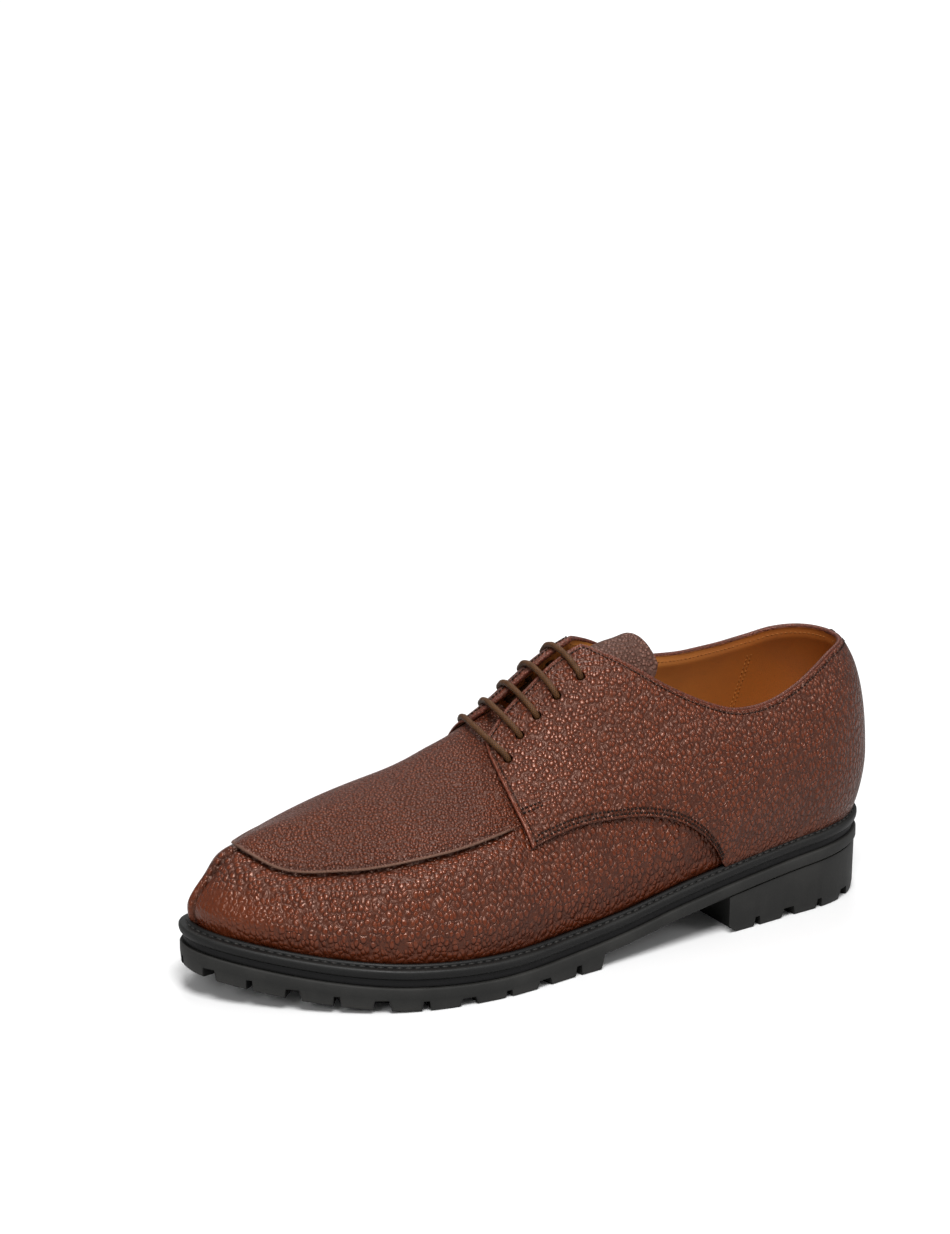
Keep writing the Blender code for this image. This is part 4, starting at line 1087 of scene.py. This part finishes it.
route = hidden_end()
for i in range(len(EYELETS)):
    over = lace_bar(i)
    start, stop = (-1, 1) if i % 2 == 0 else (1, -1)
    over = over if start < 0 else over[::-1]
    route.append(eyelet(i, start, UNDER))
    route += lace_turn(i, start, over[0])[::-1] + over + lace_turn(i, stop, over[-1])
    route.append(eyelet(i, stop, UNDER))
    if i + 1 < len(EYELETS):
        k = 0 if stop < 0 else 2
        h = 0.5 * (eyelet_at(i, stop)[2] + eyelet_at(i + 1, stop)[2])
        route.append(on_throat(EYELETS[i][k], EYELETS[i + 1][k], 0.5, stop * h, UNDER))
lace_path = smooth_path(route)
lace = piece(tube(lace_path, LACE_RADIUS, 14), "lace_cord", [lace_finish()])
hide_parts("lace")
print("lace runs", round(float(run_along(lace_path, 0)[-1])), "mm")

# %% [markdown]
# ## Rubber
# Sole, welt and heel are moulded black rubber: matte, with a fine even texture, a dusty bloom in
# patches and paler edges: scuffed where the mould parts and hands rub, and a painted highlight along
# the top edges. The edges come from a mark on each mesh, so the pale line follows them from every side.


# %% Rubber finish
def rubber_finish(name, base, pale, rough):
    m, tree, shader, place = new_finish(name, 0.3)
    fine = noise(tree, place, 1800.0, 3.0)
    cloud = noise(tree, place, 60.0, 5.0)
    shade = tint(tree, fade(tree, cloud, 0.45, 0.75, 0.0, 0.3), base, pale)
    # Paler edges: scuffing where the mould parts and hands rub, and a painted highlight along the top edges.
    scuffed_and_lit = times(tree, mark(tree, "worn"), fade(tree, cloud, 0.3, 0.6, 0.35, 0.8))
    shade = tint(tree, scuffed_and_lit, shade, pale)
    connect(tree, shader, shade, fade(tree, cloud, 0.25, 0.75, rough - 0.06, rough + 0.1), fine, 0.6, 0.00012)
    return m


welt_rubber = rubber_finish("rubber_welt", rgb(16, 16, 16), rgb(34, 34, 33), 0.46)
tread_rubber = rubber_finish("rubber_tread", rgb(32, 32, 31), rgb(58, 57, 55), 0.55)
band_rubber = rubber_finish("rubber_band", rgb(17, 17, 18), rgb(34, 34, 34), 0.6)
print("rubber finishes made")

# %% [markdown]
# ## Sole layers
# Every sole layer follows the feather line at a set distance. The welt is a ring, so its grid closes
# both ways: round the shoe and round its own rounded section. The other layers are solid. Their
# grid wraps round a cross section, up the lateral edge, over the top, down the medial edge and back
# underneath, and runs from heel to toe, where it closes in a pole.

# %% Sole helpers
WELT_THICK, MID_THICK, PLATE_THICK, LUG_DEPTH, LAYER_GAP = 4.0, 2.8, 5.2, 4.4, 0.35
TREAD_REAR, TREAD_LEVEL, HEEL_FRONT, HEEL_CHAMFER = 150.0, 205.0, 85.0, 4.5
TOE_LIFT = 0.2
MID_TOP = WELT_THICK + LAYER_GAP
PLATE_TOP = MID_TOP + MID_THICK + LAYER_GAP
PLATE_LOW = PLATE_TOP + PLATE_THICK
# station, how far the welt stands out lateral, medial
LEDGE = np.array([
    (0.0, 4.6, 4.6), (60.0, 4.0, 3.6), (120.0, 4.2, 2.6), (170.0, 5.0, 4.6), (210.0, 5.5, 5.5),
    (270.0, 5.5, 5.5), (298.0, 6.0, 6.0)])


def edge_at(t, side, extra, ledge=1.0):
    """Plan point at the welt's edge plus extra; ledge 0 keeps to the feather line."""
    t, side, extra = together(t, side, extra)
    s, y = feather(t, side)
    e = np.clip(np.minimum(0.002, 0.5 * np.minimum(t, 1.0 - t)), 1e-6, None)
    s0, y0 = feather(np.clip(t - e, 0, 1), side)
    s1, y1 = feather(np.clip(t + e, 0, 1), side)
    length = np.maximum(np.hypot(s1 - s0, y1 - y0), 1e-9)
    ns = np.where(t <= 0, -1.0, np.where(t >= 1, 1.0, -side * (y1 - y0) / length))
    ny = np.where((t <= 0) | (t >= 1), 0.0, side * (s1 - s0) / length)
    out = ledge * sided(LEDGE, 1, side, s) + extra
    return s + ns * out, y + ny * out


def feather_height(s):
    """Height of the feather line, carried on straight past the toe."""
    return column(LAST, 1, s) + TOE_LIFT * np.maximum(np.asarray(s, float) - FEATHER_TOE, 0.0)


def below(depth):
    """A height that keeps a set depth under the feather line."""
    return lambda s: feather_height(s) - GAP - depth


def level(z):
    """A height that is the same all along."""
    return lambda s: z + 0.0 * s


def ring_of(count):
    """Rays once round the shoe from the heel: lateral side to the toe, medial side back."""
    return there_and_back(np.linspace(0.0, 1.0, count)), both_sides(count)


def ring_spots(t, side, extra, height, ledge=1.0):
    """Points at a set distance from the welt's edge, at a height that follows the station."""
    x, y = edge_at(t, side, extra, ledge)
    return np.stack([x, y, height(x)], -1)


print("outsole plate starts", PLATE_LOW, "mm under the feather line")

# %% Welt
# distance from the edge, depth, scuffing and painted highlight
WELT_SECTION = [(-2.6, -0.35, 0.0), (-1.5, -0.2, 0.4), (-0.8, 0.0, 1.0), (-0.3, 0.3, 1.0), (0.0, 0.9, 0.8),
                (0.05, 1.7, 0.1), (-0.05, 2.6, 0.0), (-0.3, 3.3, 0.2), (-0.7, 3.8, 0.4), (-1.3, 4.0, 0.0)]
welt_t, welt_side = ring_of(170)
WELT_WIDE = 9.0
welt_rows = [ring_spots(welt_t, welt_side, -WELT_WIDE, below(0.0), 0.0)]
welt_rows += [ring_spots(welt_t, welt_side, extra, below(depth)) for extra, depth, worn in WELT_SECTION]
welt_rows += [ring_spots(welt_t, welt_side, -WELT_WIDE, below(WELT_THICK), 0.0), welt_rows[0]]
worn = np.array([0.0] + [w for extra, depth, w in WELT_SECTION] + [0.0, 0.0])
spots = np.stack(welt_rows)
bm = draped(spots, worn=np.broadcast_to(worn[:, None], spots.shape[:2]))
close_up(bm)
bmesh.ops.recalc_face_normals(bm, faces=bm.faces)
welt = piece(bm, "welt_rim", [welt_rubber])
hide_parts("welt")


# %% Solid layers
def sole_layer(section, last_t=1.0, count=190, across=6):
    """Closed solid; section lists, from below, (extra, height, scuffing and painted highlight, how far the
    front stays back).
    """
    edges = []
    for extra, height, edge_scuff_and_highlight, back in section:
        t = np.linspace(0.0, 1.0, count) * float(last_t if back == 0 else ray_at(station(last_t) - back))
        edges.append((ring_spots(t, -1.0, extra, height), ring_spots(t, 1.0, extra, height), edge_scuff_and_highlight))
    loops = [(lateral, edge_scuff_and_highlight) for lateral, medial, edge_scuff_and_highlight in edges]
    lateral, medial, edge_scuff_and_highlight = edges[-1]
    loops += [(lateral + (medial - lateral) * q, 0.0) for q in np.linspace(0.0, 1.0, across + 2)[1:-1]]
    loops += [(medial, edge_scuff_and_highlight) for lateral, medial, edge_scuff_and_highlight in edges[::-1]]
    lateral, medial, edge_scuff_and_highlight = edges[0]
    loops += [(lateral + (medial - lateral) * q, 0.0) for q in np.linspace(1.0, 0.0, across + 2)[1:-1]]
    loops.append((lateral, edge_scuff_and_highlight))
    spots = np.stack([loop for loop, edge_scuff_and_highlight in loops])
    worn = np.array([edge_scuff_and_highlight for loop, edge_scuff_and_highlight in loops])[:, None]
    bm = draped(spots, worn=np.broadcast_to(worn, spots.shape[:2]))
    close_up(bm)
    bmesh.ops.holes_fill(bm, edges=[e for e in bm.edges if e.is_boundary], sides=0)
    bmesh.ops.recalc_face_normals(bm, faces=bm.faces)
    return bm


def sharpen(ob, angle=38.0):
    ob.data.set_sharp_from_angle(angle=math.radians(angle))


MID_SECTION = [(-1.8, below(MID_TOP + MID_THICK), 0.0, 0.0), (-1.6, below(MID_TOP + 1.4), 0.0, 0.0),
               (-1.8, below(MID_TOP), 0.0, 0.0)]
midsole = piece(sole_layer(MID_SECTION), "midsole_band", [band_rubber])
sharpen(midsole)
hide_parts("midsole")

plate_under = below(PLATE_LOW)


def ground(s):
    """Underside of the outsole: the plate in the waist, level lugs, then the toe spring."""
    s = np.asarray(s, float)
    lugs = np.where(s < TREAD_LEVEL, 0.0, np.maximum(0.0, plate_under(s) - LUG_DEPTH))
    return np.where(s < TREAD_REAR, plate_under(s), lugs)


OUTSOLE_SECTION = [(-1.2, ground, 0.2, 0.0), (-0.4, lambda s: ground(s) + 0.7, 0.7, 0.0),
                   (-0.1, below(PLATE_LOW - 1.0), 0.15, 0.0), (-0.15, below(PLATE_TOP + 0.8), 0.3, 0.0),
                   (-0.6, below(PLATE_TOP), 0.8, 0.0)]
outsole = piece(sole_layer(OUTSOLE_SECTION, count=260), "outsole_tread", [tread_rubber])
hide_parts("outsole")
HEEL_TOP = PLATE_LOW + LAYER_GAP
HEEL_SECTION = [(-1.8, level(0.0), 0.2, HEEL_CHAMFER), (-1.3, level(0.6), 0.7, HEEL_CHAMFER - 0.6),
                (-0.9, level(3.5), 0.15, 0.0), (-0.8, below(HEEL_TOP + 0.6), 0.3, 0.0),
                (-1.0, below(HEEL_TOP), 0.6, 0.0)]
heel_body = sole_layer(HEEL_SECTION, last_t=float(ray_at(HEEL_FRONT)), count=90)
heel = piece(heel_body, "heel_block", [tread_rubber])
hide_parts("heel")

# %% [markdown]
# ### Tread
# Between the lugs the edge is notched, narrow and wide by turns. Inside the lugs runs a channel, with
# bars across the forepart. Each notch is a cube pressed into a wedge; together they are taken out
# of the outsole by one Boolean, and another set is taken out of the heel.


# %% Notches of the tread
CUT_FLOOR, CUT_OUTSIDE, NOTCH_DEEP = -3.0, -4.0, 9.5
NOTCHES = ((4.4, 2.4), (9.4, 5.4))
CHANNEL_IN, CHANNEL_WIDE = -13.0, 4.5


def wedge(bm, at, inward, deep, wide, narrow, top):
    """Cube turned into a wedge across the edge, wider at the ground."""
    made = bmesh.ops.create_cube(bm, size=2.0)["verts"]
    along = np.array([-inward[1], inward[0]])
    for v in made:
        half = 0.5 * (narrow if v.co.z > 0 else wide)
        z = top if v.co.z > 0 else CUT_FLOOR
        x, y = at + inward * (deep if v.co.y > 0 else CUT_OUTSIDE) + along * half * v.co.x
        v.co = to_world([(x, y, z)])[0]


def edge_notches(bm, t, side, extra, first, pitch, top):
    """Notches along the edge, narrow and wide by turns, about a pitch apart."""
    path = np.stack(edge_at(t, side, extra), 1)
    length = run_along(path, 0)
    count = int((length[-1] - 2 * first) / pitch) + 1
    for i, where in enumerate(np.linspace(first, length[-1] - first, count)):
        at, to, back = (np.array([np.interp(where + d, length, path[:, k]) for k in (0, 1)])
                        for d in (0, 1, -1))
        d = (to - back) / np.linalg.norm(to - back)
        wedge(bm, at, np.array([-d[1], d[0]]), NOTCH_DEEP, *NOTCHES[i % 2], top(at[0]))


def channel(bm, t, top):
    """Closed ring cut round inside the lugs: a grid rolled into a square hoop."""
    side = np.repeat((-1.0, 1.0), len(t))
    x, y = edge_at(np.concatenate([t, t[::-1]]), side, CHANNEL_IN)
    loop = np.stack([x, y], 1)
    out = loop - loop.mean(axis=0)
    out = out / np.linalg.norm(out, axis=1)[:, None]
    high, low = top(x), np.full(len(x), CUT_FLOOR)
    rows = []
    for reach, z in ((0.0, low), (0.0, high), (-CHANNEL_WIDE, high), (-CHANNEL_WIDE, low), (0.0, low)):
        ring = np.column_stack([loop + out * reach, z])
        rows.append(np.concatenate([ring, ring[:1]]))
    hoop = draped(np.stack(rows))
    bmesh.ops.remove_doubles(hoop, verts=hoop.verts, dist=0.01 * MM)
    bmesh.ops.recalc_face_normals(hoop, faces=hoop.faces)
    mesh = bpy.data.meshes.new("channel")
    hoop.to_mesh(mesh)
    hoop.free()
    bm.from_mesh(mesh)
    bpy.data.meshes.remove(mesh)


def carve(ob, bm):
    """Take the shapes in bm out of a sole piece and keep the new edges crisp."""
    bmesh.ops.recalc_face_normals(bm, faces=bm.faces)
    cutter = cutter_from(bm)
    cut_out(ob, cutter, crossing=True)
    bpy.data.objects.remove(cutter)
    sharpen(ob)


bm = bmesh.new()
fine_t = np.linspace(float(ray_at(TREAD_REAR)), 1.0, 60)
edge_notches(bm, there_and_back(fine_t), both_sides(60), -0.5, 12.0, 16.6, plate_under)
channel(bm, np.linspace(float(ray_at(164.0)), float(ray_at(294.0)), 40), plate_under)
for s in (186.0, 208.0, 230.0, 252.0):
    y0, y1 = (float(edge_at(ray_at(s), side, -15.5)[1]) for side in (-1, 1))
    wedge(bm, np.array([s, y0 + 4.0]), np.array([0.0, 1.0]), y1 - y0 - 4.0, 5.0, 3.6, plate_under(s))
carve(outsole, bm)

bm = bmesh.new()
fine_t = np.linspace(float(ray_at(HEEL_FRONT - HEEL_CHAMFER)), 0.0, 40)
edge_notches(bm, there_and_back(fine_t)[::-1], both_sides(40)[::-1], -0.8, 11.0, 16.0, level(LUG_DEPTH))
channel(bm, np.linspace(0.12, float(ray_at(HEEL_FRONT - 14.0)), 30), level(LUG_DEPTH))
carve(heel, bm)

# %% [markdown]
# ## Insole sock
# Inside lies a tan leather sock on the insole board. It is the same kind of layer as the sole's,
# kept inside the wall, with rounded edges.

# %% Insole sock
SOCK_SECTION = [(-8.2, below(-0.35), 0.0, 0.0), (-7.6, below(-1.4), 0.0, 0.0),
                (-7.9, below(-2.5), 0.0, 0.0), (-9.0, below(-2.85), 0.0, 0.0)]
sock_body = sole_layer(SOCK_SECTION, count=120, across=10)
sock = piece(sock_body, "insole_sock", [lining_leather])
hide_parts("insole")

# %% [markdown]
# ## Storm bead and thread
# Against the upper the welt carries a small rounded bead that keeps water out, sewn with black
# thread. Stitches are small stretched spheres set along a line, one mesh for each row, so each
# stitch costs only a few faces. The leather rows follow the same edge distances as the folds.


# %% Stitch rows
def thread_finish(name, light, shade):
    m, tree, shader, place = new_finish(name, 0.2)
    twist = noise(tree, place, 2200.0, 2.0)
    colour = tint(tree, fade(tree, twist, 0.35, 0.65), shade, light)
    connect(tree, shader, colour, fade(tree, twist, 0.3, 0.7, 0.5, 0.7))
    return m


def stitches(rows, name, finish, pitch, long, thick):
    """Stretched spheres along rows of (points, normals)."""
    bm = bmesh.new()
    for points, ups in rows:
        length = run_along(points, 0)
        count = max(2, int(length[-1] / pitch))
        for where in (np.arange(count) + 0.5) * length[-1] / count:
            at, to, back, up = (np.array([np.interp(where + d, length, a[:, k]) for k in range(3)])
                                for a, d in ((points, 0.0), (points, 0.5), (points, -0.5), (ups, 0.0)))
            flip = np.array([-1.0, 1.0, 1.0])
            x = Vector((to - back) * flip).normalized()
            z = Vector(up * flip)
            y = z.cross(x).normalized()
            z = x.cross(y)
            turn = Matrix((x, y, z)).transposed().to_4x4()
            size = Matrix.Diagonal((0.5 * long * MM, thick * MM, thick * MM, 1.0))
            bmesh.ops.create_uvsphere(bm, u_segments=6, v_segments=5, radius=1.0,
                                      matrix=Matrix.Translation(to_world([at])[0]) @ turn @ size)
    return piece(bm, name, [finish])


dark_thread = thread_finish("thread_dark", rgb(40, 24, 16), rgb(18, 11, 8))
black_thread = thread_finish("thread_black", rgb(58, 56, 54), rgb(26, 26, 26))
tan_thread = thread_finish("thread_tan", rgb(176, 112, 52), rgb(120, 70, 28))


def quarter_line(side, inset, off, which):
    """Row at a set distance inside the quarter's top and front edges, or along its lower seam."""
    t, v, up, from_top, from_front, from_low = quarter_grid(side)
    found = []
    for j in range(v.shape[1]) if "top" in which else ():
        if from_front[-1, j] > inset:
            found.append([np.interp(-inset, -from_top[:, j], grid[:, j]) for grid in (t, v)])
    for i in range(v.shape[0])[::-1] if "front" in which else ():
        if from_top[i, -1] > inset and up[i, -1] > inset:
            found.append([np.interp(-inset, -from_front[i], grid[i]) for grid in (t, v)])
    for j in range(v.shape[1])[::-1] if "low" in which else ():
        if from_front[0, j] > inset and from_low[0, j] < NO_SEAM:
            found.append([np.interp(inset, up[:, j], grid[:, j]) for grid in (t, v)])
    t_line, v_line = np.array(found).T
    return lying(side, t_line, v_line, off)


ROW_HEIGHT, SEAM_INSETS = GAP + QUARTER + 0.08, (1.8, 3.6)
# first and last station and height of the two short rows that lock the front corner
CORNER_ROWS = (((177.6, 0.551), (168.2, 0.532)), ((177.4, 0.533), (167.6, 0.515)))
rows, heavy = [], []
for side in (-1, 1):
    rows.append(quarter_line(side, THREAD_INSET, ROW_HEIGHT - 0.15, "top front"))
    heavy += [quarter_line(side, inset, ROW_HEIGHT, "low") for inset in SEAM_INSETS]
    shift = MEDIAL_BACK if side > 0 else 0.0
    for start, stop in CORNER_ROWS:
        s, v = np.linspace(start, stop, 12).T
        heavy.append(lying(side, ray_at(s - shift), v, ROW_HEIGHT + 0.25))
stitches(rows, "quarter_thread", dark_thread, pitch=1.8, long=1.3, thick=0.26)
stitches(heavy, "seam_thread", dark_thread, pitch=1.75, long=1.3, thick=0.46)

# %% Thread in the lining
inside = []
for side in (-1, 1):
    t, v, up, from_top, from_front, from_low = quarter_grid(side)
    keep = station(t[-1]) < 168.0
    v_line = np.array([np.interp(-2.6, -from_top[:, j], v[:, j]) for j in np.flatnonzero(keep)])
    inside.append(lying(side, t[-1][keep], v_line, -1.55))
    for shift in (-0.9, 0.9):
        q = np.linspace(0.0, 1.0, 40)
        inside.append(lying(side, ray_at(31.5 + 17.0 * q + shift), 0.45 - 0.3 * q, -WALL - 0.05))
stitches(inside, "lining_thread", tan_thread, pitch=2.0, long=1.5, thick=0.24)

# %% Storm bead
bead_t, bead_side = ring_of(170)
bead_x, bead_y = edge_at(bead_t, bead_side, 1.5, 0.0)
storm_path = np.stack([bead_x, bead_y, feather_height(bead_x) + 0.1], 1)[:-1]
piece(tube(storm_path, 1.15, 10, closed=True), "storm_bead", [welt_rubber])
seam_x, seam_y = edge_at(bead_t, bead_side, 2.75, 0.0)
seam_path = np.stack([seam_x, seam_y, feather_height(seam_x) - 0.12], 1)
stitches([(seam_path, np.broadcast_to((0.0, 0.0, 1.0), seam_path.shape))], "welt_thread", black_thread,
         pitch=3.6, long=3.0, thick=0.5)

# %% [markdown]
# ## Floor and light
# A plain pale floor and soft light from round panels: the key high above the camera's side, one
# behind, and weak ones on the left and right. The sky lights the shoe only a little, so that the
# leather keeps its contrast, but the camera sees it white, as the surroundings are.

# %% Floor and light
bpy.context.scene.view_settings.view_transform = 'Standard'
bm = bmesh.new()
bmesh.ops.create_grid(bm, x_segments=2, y_segments=2, size=12.0)
floor_mesh = bpy.data.meshes.new("floor")
bm.to_mesh(floor_mesh)
bm.free()
floor = bpy.data.objects.new("floor", floor_mesh)
bpy.context.scene.collection.objects.link(floor)
floor_paint, tree, paint, place = new_finish("floor_pale", 0.0)
far_off = put(tree, 'ShaderNodeVectorMath', {0: place}, operation='LENGTH').outputs["Value"]
seen = put(tree, 'ShaderNodeLightPath').outputs["Is Camera Ray"]
pale = tint(tree, noise(tree, place, 3.0, 2.0), (0.9, 0.9, 0.9, 1), (0.93, 0.93, 0.93, 1))
tree.links.new(tint(tree, seen, (0.5, 0.5, 0.5, 1), pale), paint.inputs["Base Color"])
paint.inputs["Emission Color"].default_value = (1.0, 1.0, 1.0, 1.0)
glow = times(tree, seen, fade(tree, far_off, 0.25, 1.0, 0.0, 0.8))
tree.links.new(glow, paint.inputs["Emission Strength"])
paint.inputs["Roughness"].default_value = 0.9
floor_mesh.materials.append(floor_paint)

sky = bpy.data.worlds.new("sky")
bpy.context.scene.world = sky
sky.use_nodes = True
tree = sky.node_tree
white = tree.nodes["Background"]
white.inputs["Color"].default_value = (1.0, 1.0, 1.0, 1.0)
seen = put(tree, 'ShaderNodeLightPath').outputs["Is Camera Ray"]
tree.links.new(fade(tree, seen, 0.0, 1.0, 0.3, 1.0), white.inputs["Strength"])


def panel(name, place, size, power):
    """A round panel of light turned to the shoe."""
    light = bpy.data.lights.new(name, 'AREA')
    light.shape, light.size, light.energy = 'DISK', size, power
    ob = bpy.data.objects.new(name, light)
    ob.location = place
    ob.rotation_euler = (Vector((0.0, 0.0, 0.05)) - Vector(place)).to_track_quat("-Z", "Y").to_euler()
    bpy.context.scene.collection.objects.link(ob)


panel("panel_key", (-0.22, -0.65, 1.28), 0.65, 18.0)
panel("panel_left", (-1.0, -0.6, 0.7), 0.5, 2.5)
panel("panel_back", (0.35, 0.7, 1.25), 0.8, 8.0)
panel("panel_right", (0.9, -1.1, 0.8), 0.7, 3.0)
print("lights:", len(bpy.data.lights))
